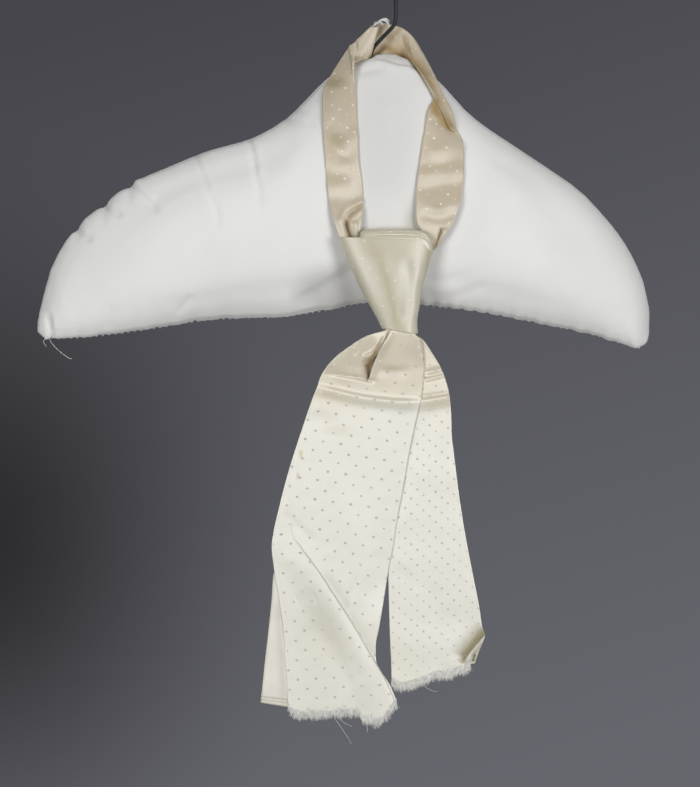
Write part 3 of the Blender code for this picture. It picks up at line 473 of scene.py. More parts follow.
# Where stitches and loose threads are: routes of (x, y, drop)
LOOSE_THREADS = [
    [(-27.0, -41.0, 536.0), (-22.0, -42.5, 543.0), (-16.0, -43.0, 552.0), (-14.0, -42.0, 556.0)],
    [(-24.0, -41.0, 536.0), (-19.0, -42.0, 540.5), (-13.5, -42.5, 543.0)],
    [(-3.0, -41.0, 540.5), (-2.6, -41.6, 544.5), (-2.4, -41.4, 547.0)],
    [(36.0, -37.5, 511.0), (39.0, -39.0, 514.5), (44.0, -39.5, 517.4), (48.0, -39.5, 518.0)],
]
PAD_THREADS = [
    [
        (-233.0, -4.0, 262.0), (-231.0, -8.0, 266.5), (-226.0, -10.0, 272.0), (-219.0, -9.5, 277.5),
        (-216.0, -9.0, 278.6),
    ],
    [(-234.0, -4.0, 263.0), (-236.5, -8.0, 266.0), (-234.5, -9.0, 269.5)],
]
APEX_THREADS = [
    [(3.0, -1.0, 37.0), (7.0, -2.5, 33.6), (10.5, -2.0, 32.4), (13.0, -1.0, 33.8)],
    [(0.5, 0.0, 38.5), (6.0, -2.0, 34.6), (9.5, -2.6, 33.8), (12.5, -1.6, 36.4)],
    [(5.0, 2.0, 36.0), (8.0, 0.0, 32.8), (12.0, -1.4, 34.6), (13.0, -2.0, 38.0)],
    [(2.0, -3.0, 37.6), (6.5, -3.0, 35.0), (9.0, -3.0, 36.6)],
]


class CravatSizes(bpy.types.PropertyGroup):
    band_thickness: FloatProperty(
        name="Neckband thickness", description="Layers of the folded neckband", default=0.0015, unit="LENGTH"
    )
    blade_thickness: FloatProperty(
        name="Blade thickness", description="Silk, interlining and lining together",
        default=0.0010, unit="LENGTH",
    )
    lining_thickness: FloatProperty(
        name="Lining thickness", description="The plain lining at the tip", default=0.0008, unit="LENGTH"
    )
    sleeve_thickness: FloatProperty(
        name="Knot wall", description="The knot's last turn", default=0.0017, unit="LENGTH"
    )
    pad_voxel: FloatProperty(
        name="Padding mesh", description="Face size of the padded cover before it is filled",
        default=0.0045, unit="LENGTH",
    )
    pad_swell: FloatProperty(
        name="Padding swell", description="How far the filling may push the cover out",
        default=0.004, unit="LENGTH",
    )
    thread_radius: FloatProperty(
        name="Thread radius", description="Frayed silk threads", default=0.00012, unit="LENGTH"
    )
    strands: IntProperty(
        name="Frayed threads", description="Threads along each cut edge", default=1500, min=10
    )


class CravatColours(bpy.types.PropertyGroup):
    satin: FloatVectorProperty(
        name="Satin", description="Knot", default=(0.58, 0.545, 0.43), subtype="COLOR", min=0, max=1
    )
    blade: FloatVectorProperty(
        name="Blade satin", description="Blades", default=(0.60, 0.585, 0.495), subtype="COLOR", min=0, max=1
    )
    # The neckband's satin: yellowed with age, and in part darker as painted shade, since it lies tilted up on
    # the padding
    aged: FloatVectorProperty(
        name="Aged satin", description="Neckband", default=(0.54, 0.465, 0.345), subtype="COLOR", min=0, max=1
    )
    dot: FloatVectorProperty(
        name="Woven dots", description="Dots on the blades",
        default=(0.40, 0.385, 0.345), subtype="COLOR", min=0, max=1,
    )
    pale_dot: FloatVectorProperty(
        name="Neckband dots", description="Dots on the neckband",
        default=(0.80, 0.77, 0.66), subtype="COLOR", min=0, max=1,
    )
    lining: FloatVectorProperty(
        name="Lining", description="Plain silk", default=(0.57, 0.55, 0.475), subtype="COLOR", min=0, max=1
    )
    thread: FloatVectorProperty(
        name="Frayed thread", description="Loose silk",
        default=(0.86, 0.85, 0.80), subtype="COLOR", min=0, max=1,
    )
    muslin: FloatVectorProperty(
        name="Muslin", description="The hanger's cover",
        default=(0.77, 0.765, 0.74), subtype="COLOR", min=0, max=1,
    )
    backdrop: FloatVectorProperty(
        name="Backdrop", description="The studio's grey",
        default=(0.088, 0.089, 0.102), subtype="COLOR", min=0, max=1,
    )
    floor: FloatVectorProperty(
        name="Floor", description="Plain pale floor",
        default=(0.62, 0.62, 0.62), subtype="COLOR", min=0, max=1,
    )


def sizes():
    return bpy.context.scene.cravat_sizes


def colours():
    return bpy.context.scene.cravat_colours


# Smooth tables and routes
def curve(rows, along, column):
    """A smooth function through one named column of a table, without overshoot between its rows."""
    at = np.array([getattr(row, along) for row in rows], float)
    values = np.array([getattr(row, column) for row in rows], float)
    steps = np.diff(at)
    slopes = np.diff(values) / steps
    tangents = np.concatenate([[slopes[0]], np.zeros(len(at) - 2), [slopes[-1]]])
    for i, (before, after) in enumerate(zip(slopes[:-1], slopes[1:]), start=1):
        if before * after > 0:
            tangents[i] = 2 * before * after / (before + after)

    def value(x):
        x = np.clip(x, at[0], at[-1])
        i = np.clip(np.searchsorted(at, x, side="right") - 1, 0, len(steps) - 1)
        t = (x - at[i]) / steps[i]
        bend = t * (1 - t) * ((1 - t) * (tangents[i] - slopes[i]) - t * (tangents[i + 1] - slopes[i]))
        return values[i] + t * (values[i + 1] - values[i]) + bend * steps[i]

    return value


def spline(points, count):
    """Places along a smooth curve through a few points."""
    knots = np.array(points, float)
    padded = np.vstack([2 * knots[0] - knots[1], knots, 2 * knots[-1] - knots[-2]])
    at = np.linspace(0, len(knots) - 1, count)
    i = np.minimum(at.astype(int), len(knots) - 2)
    t = (at - i)[:, None]
    a, b, c, d = (padded[i + k] for k in range(4))
    return 0.5 * (2 * b + (c - a) * t + (2 * a - 5 * b + 4 * c - d) * t**2 + (3 * b - a - 3 * c + d) * t**3)


def stations(start, zones):
    """Row positions from start on, where each zone is (its end, the spacing in it)."""
    rows = [start]
    for end, spacing in zones:
        count = max(1, round((end - rows[-1]) / spacing))
        rows += list(np.linspace(rows[-1], end, count + 1)[1:])
    return np.array(rows)


def ease(t):
    """0 below 0, 1 above 1, and smooth between."""
    t = np.clip(t, 0.0, 1.0)
    return t * t * (3 - 2 * t)


def near_route(x, drop, route):
    """Each place's distance to a route, its side of it, and the share of the route passed there."""
    points = spline(route, ROUTE_STEPS + 1)
    best = np.full(x.shape, 1e9)
    side, share = np.zeros(x.shape), np.zeros(x.shape)
    for k, (start, end) in enumerate(zip(points, points[1:])):
        along = end - start
        t = np.clip(((x - start[0]) * along[0] + (drop - start[1]) * along[1]) / (along @ along), 0, 1)
        off_x = x - start[0] - t * along[0]
        off_drop = drop - start[1] - t * along[1]
        away = np.hypot(off_x, off_drop)
        closer = away < best
        best = np.where(closer, away, best)
        side = np.where(closer, along[0] * off_drop - along[1] * off_x, side)
        share = np.where(closer, (k + t) / ROUTE_STEPS, share)
    return best, side, share


def relief(x, drop, folds):
    """The height that the folds give each place."""
    height = np.zeros(x.shape)
    for fold in folds:
        away, side, share = near_route(x, drop, fold.route)
        spread = np.where(side > 0, fold.right, fold.left)
        fade = ease(np.minimum(share, 1 - share) / FOLD_TAPER)
        height += fold.height * np.exp(-((away / spread) ** 2)) * fade
    return height


def rumple(x, drop, length, seed, waves=7):
    """Soft uneven waviness, about one high, with waves near the given length."""
    chance = random.Random(seed)
    height = np.zeros(x.shape)
    for _ in range(waves):
        angle = chance.uniform(0, 2 * pi)
        pitch = length * chance.uniform(0.7, 1.6)
        height += np.sin(2 * pi * (x * cos(angle) + drop * sin(angle)) / pitch + chance.uniform(0, 2 * pi))
    return height / waves**0.5


# Mesh building
def edge_fractions(width, spacing, rim):
    """Shares of a width, evenly spaced inside and closer together at both rounded rims."""
    count = max(3, round((width - 2 * rim) / spacing) + 1)
    inner = np.linspace(rim, width - rim, count)
    ends = rim * (1 - np.cos(np.linspace(0, pi / 2, 5)[:-1]))
    return np.concatenate([ends, inner, width - ends[::-1]]) / width


def rim_share(distance, rim):
    """How much of its thickness a wall keeps at a distance from its rounded rim."""
    t = np.clip(distance / rim, 0, 1)
    return 0.12 + 0.88 * np.sqrt(1 - (1 - t) ** 2)


def outward(grid, closed=False):
    """The unit normals of a grid whose rows run down and whose columns run to the right."""
    down = np.gradient(grid, axis=0)
    across = (np.roll(grid, -1, 1) - np.roll(grid, 1, 1)) if closed else np.gradient(grid, axis=1)
    normal = np.cross(down, across)
    return normal / np.maximum(np.linalg.norm(normal, axis=2, keepdims=True), 1e-9)


def column_distance(grid):
    """How far each place is from the first and from the last column of its row."""
    steps = np.linalg.norm(np.diff(grid, axis=1), axis=2)
    passed = np.concatenate([np.zeros((grid.shape[0], 1)), np.cumsum(steps, axis=1)], axis=1)
    return passed, passed[:, -1:] - passed


def to_world(x, y, drop):
    """A grid of places in metres from three grids in millimetres."""
    return np.stack(np.broadcast_arrays(x, y, -np.asarray(drop)), axis=-1) * MM


def shell(name, front, back, uv, material, closed=False, **maps):
    """A closed wall of cloth between two grids of places. A closed one joins its last column to its first."""
    rows, columns = front.shape[:2]
    index = np.arange(rows * columns).reshape(rows, columns)
    if closed:
        index = np.hstack([index, index[:, :1]])
    uv_index = np.arange(index.size).reshape(index.shape)
    behind = rows * columns

    def quads(grid, shift=0):
        corners = (grid[:-1, :-1], grid[1:, :-1], grid[1:, 1:], grid[:-1, 1:])
        return np.stack([corner.ravel() for corner in corners], axis=1) + shift

    def rim(line, shift):
        return np.stack([line[:-1], line[1:], line[1:] + shift, line[:-1] + shift], axis=1)

    faces = [quads(index), quads(index, behind)[:, ::-1]]
    uv_faces = [quads(uv_index), quads(uv_index)[:, ::-1]]
    borders = [(index[0], uv_index[0], False), (index[-1], uv_index[-1], True)]
    if not closed:
        borders += [(index[:, 0], uv_index[:, 0], True), (index[:, -1], uv_index[:, -1], False)]
    for line, uv_line, turned in borders:
        order = slice(None, None, -1) if turned else slice(None)
        faces.append(rim(line, behind)[:, order])
        uv_faces.append(rim(uv_line, 0)[:, order])
    mesh = bpy.data.meshes.new(name)
    points = np.concatenate([front.reshape(-1, 3), back.reshape(-1, 3)])
    mesh.from_pydata(points.tolist(), [], np.concatenate(faces).tolist())
    layer = mesh.uv_layers.new(name="cloth")
    layer.data.foreach_set("uv", (uv.reshape(-1, 2)[np.concatenate(uv_faces).ravel()] * MM).ravel())
    for label, values in maps.items():
        mesh.attributes.new(label, "FLOAT", "POINT").data.foreach_set("value", np.tile(values.ravel(), 2))
    return add_piece(name, mesh, material)


def add_piece(name, mesh, material):
    """A smooth-shaded piece of the object, which rides on its body."""
    mesh.shade_smooth()
    mesh.materials.append(material)
    piece = bpy.data.objects.new(name, mesh)
    bpy.context.scene.collection.objects.link(piece)
    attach(piece, BODY)
    return piece


def wall(middle, thickness, normal, closed=False, rim=0.45):
    """The front and back of a wall round its middle surface. A closed one has its rims at its rows."""
    if closed:
        passed, left = column_distance(middle.transpose(1, 0, 2))
        share = (rim_share(passed, thickness / 2) * rim_share(left, thickness / 2)).T
    else:
        passed, left = column_distance(middle)
        share = rim_share(passed, thickness * rim) * rim_share(left, thickness * rim)
    half = normal * (thickness / 2 * share)[..., None]
    return middle + half, middle - half


def tube(points, radii, sides):
    """Vertices and faces of a closed tube along a route, in metres."""
    route = np.array(points, float)
    along = np.gradient(route, axis=0)
    along /= np.linalg.norm(along, axis=1, keepdims=True)
    vertices, faces = [], []
    side = np.cross(along[0], (0.12, 1.0, 0.07))
    for k, (place, ahead) in enumerate(zip(route, along)):
        side = side - ahead * (side @ ahead)
        side /= np.linalg.norm(side)
        up = np.cross(ahead, side)
        for j in range(sides):
            angle = 2 * pi * j / sides
            vertices.append(place + radii[k] * (cos(angle) * side + sin(angle) * up))
    for k in range(len(route) - 1):
        for j in range(sides):
            a, b = k * sides + j, k * sides + (j + 1) % sides
            faces.append((a, b, b + sides, a + sides))
    last = (len(route) - 1) * sides
    faces.append(tuple(range(sides - 1, -1, -1)))
    faces.append(tuple(range(last, last + sides)))
    return vertices, faces


def joined_tubes(name, routes, material, sides=3):
    """One mesh of many closed tubes, each given as its points and radii in metres."""
    vertices, faces = [], []
    for points, radii in routes:
        more, more_faces = tube(points, radii, sides)
        faces += [tuple(i + len(vertices) for i in face) for face in more_faces]
        vertices += more
    mesh = bpy.data.meshes.new(name)
    mesh.from_pydata([tuple(v) for v in vertices], [], faces)
    return add_piece(name, mesh, material)


def solid_tree(node, bore=0.0):
    """A CAD node's faces in millimetres, for finding places on it, without those of a bore round z."""
    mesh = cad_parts[node].data
    places = [v.co / MM for v in mesh.vertices]
    faces = [tuple(p.vertices) for p in mesh.polygons]
    return BVHTree.FromPolygons(places, [f for f in faces if any(places[i].xy.length > bore for i in f)])


def front_surface(node, x_range, drop_range):
    """A smooth function for the depth of a CAD node's front near a region, fitted to places on it."""
    tree = solid_tree(node)
    xs, drops, depths = [], [], []
    for x in np.linspace(*x_range, 15):
        for drop in np.linspace(*drop_range, 30):
            hit = tree.ray_cast(Vector((x, -300, -drop)), Vector((0, 1, 0)))[0]
            if hit is not None:
                xs.append(x)
                drops.append(drop)
                depths.append(hit.y)
    centre = (sum(x_range) / 2, sum(drop_range) / 2)
    scale = ((x_range[1] - x_range[0]) / 2, (drop_range[1] - drop_range[0]) / 2)

    def terms(x, drop):
        a, b = (x - centre[0]) / scale[0], (drop - centre[1]) / scale[1]
        return np.stack([a**i * b**j for i in range(3) for j in range(6)], axis=-1)

    fit = np.linalg.lstsq(terms(np.array(xs), np.array(drops)), np.array(depths), rcond=None)[0]
    return lambda x, drop: terms(x, drop) @ fit


# Materials
class Shader:
    """A material's node tree, with short ways to add and join its nodes."""

    def __init__(self, name):
        self.material = bpy.data.materials.new(name)
        self.material.use_nodes = True
        self.nodes = self.material.node_tree.nodes
        self.links = self.material.node_tree.links
        self.surface = self.nodes["Principled BSDF"]

    def add(self, kind, **inputs):
        node = self.nodes.new(kind)
        for name, value in inputs.items():
            self.put(node.inputs[name.replace("_", " ")], value)
        return node

    def put(self, socket, value):
        if isinstance(value, bpy.types.NodeSocket):
            self.links.new(value, socket)
        else:
            socket.default_value = value

    def math(self, operation, *values):
        node = self.nodes.new("ShaderNodeMath")
        node.operation = operation
        for socket, value in zip(node.inputs, values):
            self.put(socket, value)
        return node.outputs[0]

    def ramp(self, value, low, high, smooth=True):
        """0 where value is low, 1 where it is high."""
        node = self.add("ShaderNodeMapRange", Value=value, From_Min=low, From_Max=high)
        node.interpolation_type = "SMOOTHSTEP" if smooth else "LINEAR"
        return node.outputs[0]

    def mix(self, share, first, second):
        node = self.nodes.new("ShaderNodeMix")
        node.data_type = "RGBA"
        self.put(node.inputs["Factor"], share)
        for socket, value in ((node.inputs[6], first), (node.inputs[7], second)):
            self.put(socket, (*value, 1.0) if isinstance(value, tuple) else value)
        return node.outputs[2]

    def place(self):
        return self.add("ShaderNodeTexCoord").outputs["Object"]

    def cloth(self):
        node = self.nodes.new("ShaderNodeUVMap")
        node.uv_map = "cloth"
        return node.outputs[0]

    def noise(self, vector, scale, detail=2.0, stretch=(1, 1, 1)):
        mapped = self.add("ShaderNodeMapping", Vector=vector, Scale=tuple(scale * s for s in stretch))
        noise = self.add("ShaderNodeTexNoise", Vector=mapped.outputs[0], Scale=1.0, Detail=detail)
        return noise.outputs["Fac"]

    def length(self, a, b):
        """The length of a flat vector."""
        squares = [self.math("MULTIPLY", part, part) for part in (a, b)]
        return self.math("POWER", self.math("ADD", *squares), 0.5)

    def spot(self, stain):
        """1 in the middle of a ragged patch of tone, and 0 outside it."""
        place = self.add("ShaderNodeSeparateXYZ", Vector=self.place())
        across = self.math("SUBTRACT", place.outputs[0], stain.x * MM)
        up = self.math("ADD", place.outputs[2], stain.drop * MM)
        off_x = self.math("DIVIDE", across, stain.half_width * MM)
        off_z = self.math("DIVIDE", up, stain.half_height * MM)
        away = self.length(off_x, off_z)
        fineness = 3000 / (stain.half_width + stain.half_height)
        rough = 0.9 if stain.half_width < 2 else 0.3
        ragged = self.math("MULTIPLY_ADD", self.noise(self.place(), fineness), rough, -rough / 2)
        return self.ramp(self.math("ADD", away, ragged), 1.25, 0.2)

    def bump(self, height, strength, distance):
        node = self.add("ShaderNodeBump", Height=height, Strength=strength, Distance=distance)
        self.put(self.surface.inputs["Normal"], node.outputs[0])


# A ragged patch of tone at a place: real stains and painted shade both use it
Stain = namedtuple("Stain", "x drop half_width half_height share tone")
RUST = (0.44, 0.31, 0.11)
AMBER = (0.29, 0.18, 0.035)
OCHRE = (0.25, 0.155, 0.04)
OLIVE = (0.27, 0.225, 0.09)
DEEP = (0.10, 0.08, 0.03)
SHADE = (0.40, 0.345, 0.20)
TAN = (0.60, 0.53, 0.395)
# Rust stains, and broad olive patches of painted shade on the front blade: right of the pleat, in the soft
# trough at the left and over the folded-over corner
BLADE_STAINS = [
    Stain(-50.4, 347.0, 1.8, 3.8, 0.8, RUST),
    Stain(-52.6, 363.0, 1.6, 3.4, 0.6, RUST),
    Stain(27.5, 310.0, 1.2, 2.2, 0.5, RUST),
    Stain(-11.0, 290.0, 1.8, 3.0, 0.25, RUST),
    Stain(15.0, 288.0, 10.0, 5.0, 0.4, OLIVE),
    Stain(-24.0, 330.0, 14.0, 5.0, 0.18, OLIVE),
    Stain(-36.0, 480.0, 22.0, 44.0, 0.16, OLIVE),
]
# Olive painted shade on the neckband: across the left stretch's folds, on the right stretch's low ripple, and
# a painted shadow under the left lip
BAND_STAINS = [
    Stain(-26.0, 79.0, 10.0, 5.0, 0.5, OLIVE),
    Stain(-24.0, 120.0, 7.0, 6.0, 0.35, OLIVE),
    Stain(49.0, 171.0, 7.0, 5.0, 0.4, OLIVE),
    Stain(-9.0, 62.0, 5.0, 3.0, 0.8, OLIVE),
]
# Painted shade on the muslin's front: round the neck, under the knot's left, at the apex fold, beside the
# right band and under the knot's top
PAD_SHADES = [
    Stain(8.0, 118.0, 44.0, 72.0, 0.42, (0.52, 0.515, 0.49)),
    Stain(-33.0, 228.0, 26.0, 20.0, 0.55, (0.42, 0.415, 0.39)),
    Stain(20.0, 60.0, 16.0, 5.0, 0.35, (0.50, 0.46, 0.38)),
    Stain(29.0, 190.0, 7.0, 26.0, 0.45, (0.42, 0.38, 0.27)),
    Stain(10.0, 187.0, 30.0, 5.0, 0.40, (0.45, 0.41, 0.31)),
]

# Painted light on the dots: the direction cloth faces where its satin shines, and how nearly it must face it
# for its dots to be painted dark
DarkDots = namedtuple("DarkDots", "direction low high")
BLADE_DARK = DarkDots((0.10, -0.99, 0.03), 0.962, 0.984)
KNOT_DARK = DarkDots((0.80, -0.60, 0.0), 0.90, 0.97)
SATIN_ROUGHNESS = 0.40
SATIN_SPECULAR = 0.95
SATIN_ANISOTROPY = 0.80
BAND_ROUGHNESS = 0.50
KNOT_ROUGHNESS = 0.46
KNOT_TURN = 0.25
EVEN_DOTS = 0.2
# The drop above which the blades are painted tan: partly an aged tone, partly painted shade of their cross
# folds
TAN_ABOVE = 312

Lattice = namedtuple("Lattice", "x drop turn pitch rise shift across half_width half_height")
BLADE_DOTS = Lattice(-22.0, 389.3, 8.0, 13.0, 7.0, 6.5, False, 0.95, 0.74)
PANEL_DOTS = Lattice(46.6, 439.6, 0.0, 10.9, 4.4, 4.2, True, 0.76, 0.64)
BAND_DOTS = Lattice(3.0, 4.0, 0.0, 10.2, 5.0, 3.4, True, 0.84, 0.70)
KNOT_DOTS = Lattice(3.8, 196.8, -7.0, 12.6, 6.4, 6.3, False, 0.85, 0.70)
# How the dots of the front blade's folded-over corner are turned and moved
FLAP_CENTRE = (-38.5, 495.4)
FLAP_DEGREES = 11.0
FLAP_DOTS_AT = (BLADE_DOTS.x - 6.5, BLADE_DOTS.drop + 105.9)


def dots(shader, lattice):
    """1 on the woven dots and 0 between them, on the cloth's own map, and a number for each dot."""
    turned = shader.add("ShaderNodeVectorRotate", Vector=shader.cloth(), Angle=radians(-lattice.turn))
    turned.rotation_type = "Z_AXIS"
    shader.put(turned.inputs["Center"], (lattice.x * MM, lattice.drop * MM, 0.0))
    split = shader.add("ShaderNodeSeparateXYZ", Vector=turned.outputs[0])
    across = shader.math("SUBTRACT", split.outputs[0], lattice.x * MM)
    along = shader.math("SUBTRACT", split.outputs[1], lattice.drop * MM)
    u, v = (along, across) if lattice.across else (across, along)
    row = shader.math("ROUND", shader.math("DIVIDE", v, lattice.rise * MM))
    off_v = shader.math("MULTIPLY_ADD", row, -lattice.rise * MM, v)
    moved = shader.math("MULTIPLY_ADD", row, -lattice.shift * MM, u)
    column = shader.math("ROUND", shader.math("DIVIDE", moved, lattice.pitch * MM))
    off_u = shader.math("MULTIPLY_ADD", column, -lattice.pitch * MM, moved)
    half_u, half_v = lattice.half_width, lattice.half_height
    if lattice.across:
        half_u, half_v = half_v, half_u
    a = shader.math("DIVIDE", off_u, half_u * MM)
    b = shader.math("DIVIDE", off_v, half_v * MM)
    away = shader.length(a, b)
    cell = shader.add("ShaderNodeCombineXYZ", X=column, Y=row)
    chance = shader.add("ShaderNodeTexWhiteNoise", Vector=cell.outputs[0]).outputs["Value"]
    return shader.ramp(shader.math("MULTIPLY_ADD", chance, 0.35, away), 1.45, 0.75), chance


def satin(
    name, base, lattice=None, stains=(), frayed=False, turn=0.0, dark_dots=None, tan_above=None, wear=None,
    gloss=SATIN_ROUGHNESS,
):
    """Silk satin: floats that shine across their length, and small dots woven the other way.

    A dot's tone is painted by which way its cloth faces: dark where the cloth faces the direction in which
    its satin shines, and pale where it doesn't, so dark_dots gives that direction, and how nearly; this is
    painted light, not shine from the lamps.
    """
    shader = Shader(name)
    cloth = shader.cloth()
    age = shader.ramp(shader.noise(shader.place(), 22, 4.0), 0.42, 0.72)
    yellow = tuple(c * k for c, k in zip(base, (0.97, 0.93, 0.80)))
    colour = shader.mix(shader.math("MULTIPLY", age, 0.25 if dark_dots else 0.6), tuple(base), yellow)
    # Painted tan on the upper blades, partly aged tone and partly painted shade
    if tan_above:
        height = shader.add("ShaderNodeSeparateXYZ", Vector=shader.place()).outputs[2]
        uneven = shader.math("MULTIPLY_ADD", shader.noise(shader.place(), 40, 3.0), 0.05, height)
        tan = shader.ramp(uneven, 0.025 - tan_above * MM - 0.016, 0.025 - tan_above * MM + 0.016)
        colour = shader.mix(shader.math("MULTIPLY", tan, 0.85), colour, TAN)
    streaks = shader.noise(cloth, 1, 3.0, (5200, 260, 1))
    slubs = shader.noise(cloth, 1, 2.0, (160, 2600, 1))
    grain = shader.math("ADD", shader.math("MULTIPLY", streaks, 0.7), shader.math("MULTIPLY", slubs, 0.5))
    colour = shader.mix(shader.math("MULTIPLY", shader.ramp(grain, 0.45, 0.8), 0.10), colour, yellow)
    # Stains and patches of painted shade
    for stain in stains:
        colour = shader.mix(shader.math("MULTIPLY", shader.spot(stain), stain.share), colour, stain.tone)
    roughness = shader.math("MULTIPLY_ADD", grain, 0.10, gloss)
    bumps = grain
    if lattice:
        mask, chance = dots(shader, lattice)
        tone = shader.mix(shader.math("MULTIPLY", chance, 0.45), tuple(colours().pale_dot), tuple(base))
        if dark_dots:
            # The dots' tone painted by which way the cloth faces, as painted light
            normal = shader.nodes.new("ShaderNodeNewGeometry").outputs["Normal"]
            facing = shader.nodes.new("ShaderNodeVectorMath")
            facing.operation = "DOT_PRODUCT"
            shader.put(facing.inputs[0], normal)
            facing.inputs[1].default_value = dark_dots.direction
            shining = shader.math("ABSOLUTE", facing.outputs["Value"])
            tone = shader.mix(shader.ramp(shining, dark_dots.low, dark_dots.high), tone, tuple(colours().dot))
        patches = shader.ramp(shader.noise(shader.place(), 45, 2.0), 0.35, 0.6)
        worn = shader.math("MULTIPLY_ADD", patches, 0.4, 0.6)
        uneven = shader.math("MULTIPLY_ADD", shader.ramp(chance, 0.75, 0.2), 1.0 - EVEN_DOTS, EVEN_DOTS)
        share = shader.math("MULTIPLY", worn, 1.0 if dark_dots is BLADE_DARK else uneven)
        colour = shader.mix(shader.math("MULTIPLY", mask, share), colour, tone)
        roughness = shader.math("MULTIPLY_ADD", mask, 0.30, roughness)
        bumps = shader.math("MULTIPLY_ADD", mask, 0.8, grain)
        spin = shader.math("MULTIPLY_ADD", mask, 0.25, turn)
        shader.put(shader.surface.inputs["Anisotropic Rotation"], spin)
    # Painted shade, and on the lining some real wear, from the piece's own map; the cloth is also made
    # rougher there
    if wear:
        colour, amount = paint_shade_and_wear(shader, colour, wear)
        roughness = shader.math("MULTIPLY_ADD", amount, 0.3, roughness)
    if frayed:
        colour = shader.mix(fray_band(shader), colour, tuple(colours().thread))
    surface = shader.surface.inputs
    shader.put(surface["Base Color"], colour)
    shader.put(surface["Roughness"], roughness)
    surface["IOR"].default_value = 1.75
    surface["Specular IOR Level"].default_value = SATIN_SPECULAR
    surface["Anisotropic"].default_value = SATIN_ANISOTROPY
    tangent = shader.nodes.new("ShaderNodeTangent")
    tangent.direction_type = "UV_MAP"
    tangent.uv_map = "cloth"
    shader.put(surface["Tangent"], tangent.outputs[0])
    shader.bump(bumps, 0.25, 0.00006)
    return shader.material


def paint_shade_and_wear(shader, colour, tone):
    """The colour, darkened towards a tone by the cloth's own map of painted shade and wear, and towards deep
    painted shade where the map is over one, and its share.
    """
    amount = shader.nodes.new("ShaderNodeAttribute")
    amount.attribute_name = "wear"
    mottle = shader.math("MULTIPLY_ADD", shader.noise(shader.place(), 260, 3.0), 0.8, 0.6)
    uneven = shader.math("MULTIPLY", amount.outputs["Fac"], mottle)
    share = shader.math("MULTIPLY", shader.ramp(uneven, 0.0, 1.0, smooth=False), 0.9)
    return shader.mix(shader.ramp(uneven, 1.0, 2.0), shader.mix(share, colour, tone), DEEP), share


def fray_band(shader):
    """1 in the last millimetres above a cut edge, where the cross threads are gone."""
    edge = shader.nodes.new("ShaderNodeAttribute")
    edge.attribute_name = "from_cut"
    streaks = shader.noise(shader.cloth(), 1, 2.0, (1500, 40, 1))
    line = shader.math("MULTIPLY_ADD", streaks, 3.0, edge.outputs["Fac"])
    return shader.math("MULTIPLY", shader.ramp(line, 3.4, 2.2), 0.6)


def plain_cloth(name, base, weave, roughness, sheen, shades=()):
    """Plain-woven cloth: crossing threads with soft uneven shade, and painted shade on its front at the given
    places.
    """
    shader = Shader(name)
    where = shader.place()
    shade = tuple(c * 0.90 for c in base)
    patches = shader.ramp(shader.noise(where, 14, 4.0), 0.4, 0.75)
    colour = shader.mix(shader.math("MULTIPLY", patches, 0.5), tuple(base), shade)
    warp = shader.noise(where, 1, 2.0, (weave, weave, weave * 0.12))
    weft = shader.noise(where, 1, 2.0, (weave * 0.12, weave, weave))
    grain = shader.math("ADD", shader.math("MULTIPLY", warp, 0.5), shader.math("MULTIPLY", weft, 0.5))
    colour = shader.mix(shader.math("MULTIPLY", shader.ramp(grain, 0.4, 0.65), 0.12), colour, shade)
    normal = shader.nodes.new("ShaderNodeNewGeometry").outputs["Normal"]
    front = shader.ramp(shader.add("ShaderNodeSeparateXYZ", Vector=normal).outputs[1], 0.1, -0.3)
    for stain in shades:
        share = shader.math("MULTIPLY", shader.math("MULTIPLY", shader.spot(stain), front), stain.share)
        colour = shader.mix(share, colour, stain.tone)
    surface = shader.surface.inputs
    shader.put(surface["Base Color"], colour)
    surface["Roughness"].default_value = roughness
    surface["Sheen Weight"].default_value = sheen
    surface["Sheen Roughness"].default_value = 0.5
    shader.bump(grain, 0.5, 0.00010)
    return shader.material


def thread_material():
    shader = Shader("frayed silk thread")
    patches = shader.noise(shader.place(), 300, 2.0)
    base = tuple(colours().thread)
    colour = shader.mix(shader.ramp(patches, 0.35, 0.7), base, tuple(c * 0.86 for c in base))
    shader.put(shader.surface.inputs["Base Color"], colour)
    shader.surface.inputs["Roughness"].default_value = 0.6
    return shader.material


def wire_material():
    shader = Shader("black coated wire")
    scuffs = shader.ramp(shader.noise(shader.place(), 900, 4.0), 0.55, 0.8)
    colour = shader.mix(shader.math("MULTIPLY", scuffs, 0.4), (0.012, 0.013, 0.015), (0.06, 0.06, 0.065))
    shader.put(shader.surface.inputs["Base Color"], colour)
    shader.put(shader.surface.inputs["Roughness"], shader.math("MULTIPLY_ADD", scuffs, 0.2, 0.42))
    shader.surface.inputs["Specular IOR Level"].default_value = 0.3
    shader.bump(shader.noise(shader.place(), 1600, 3.0), 0.2, 0.00005)
    return shader.material


# Pieces
def places_and_normals(mesh):
    """A mesh's points and their normals, a row for each."""
    count = len(mesh.vertices) * 3
    places, normals = np.zeros(count), np.zeros(count)
    mesh.vertices.foreach_get("co", places)
    mesh.vertex_normals.foreach_get("vector", normals)
    return places.reshape(-1, 3), normals.reshape(-1, 3)


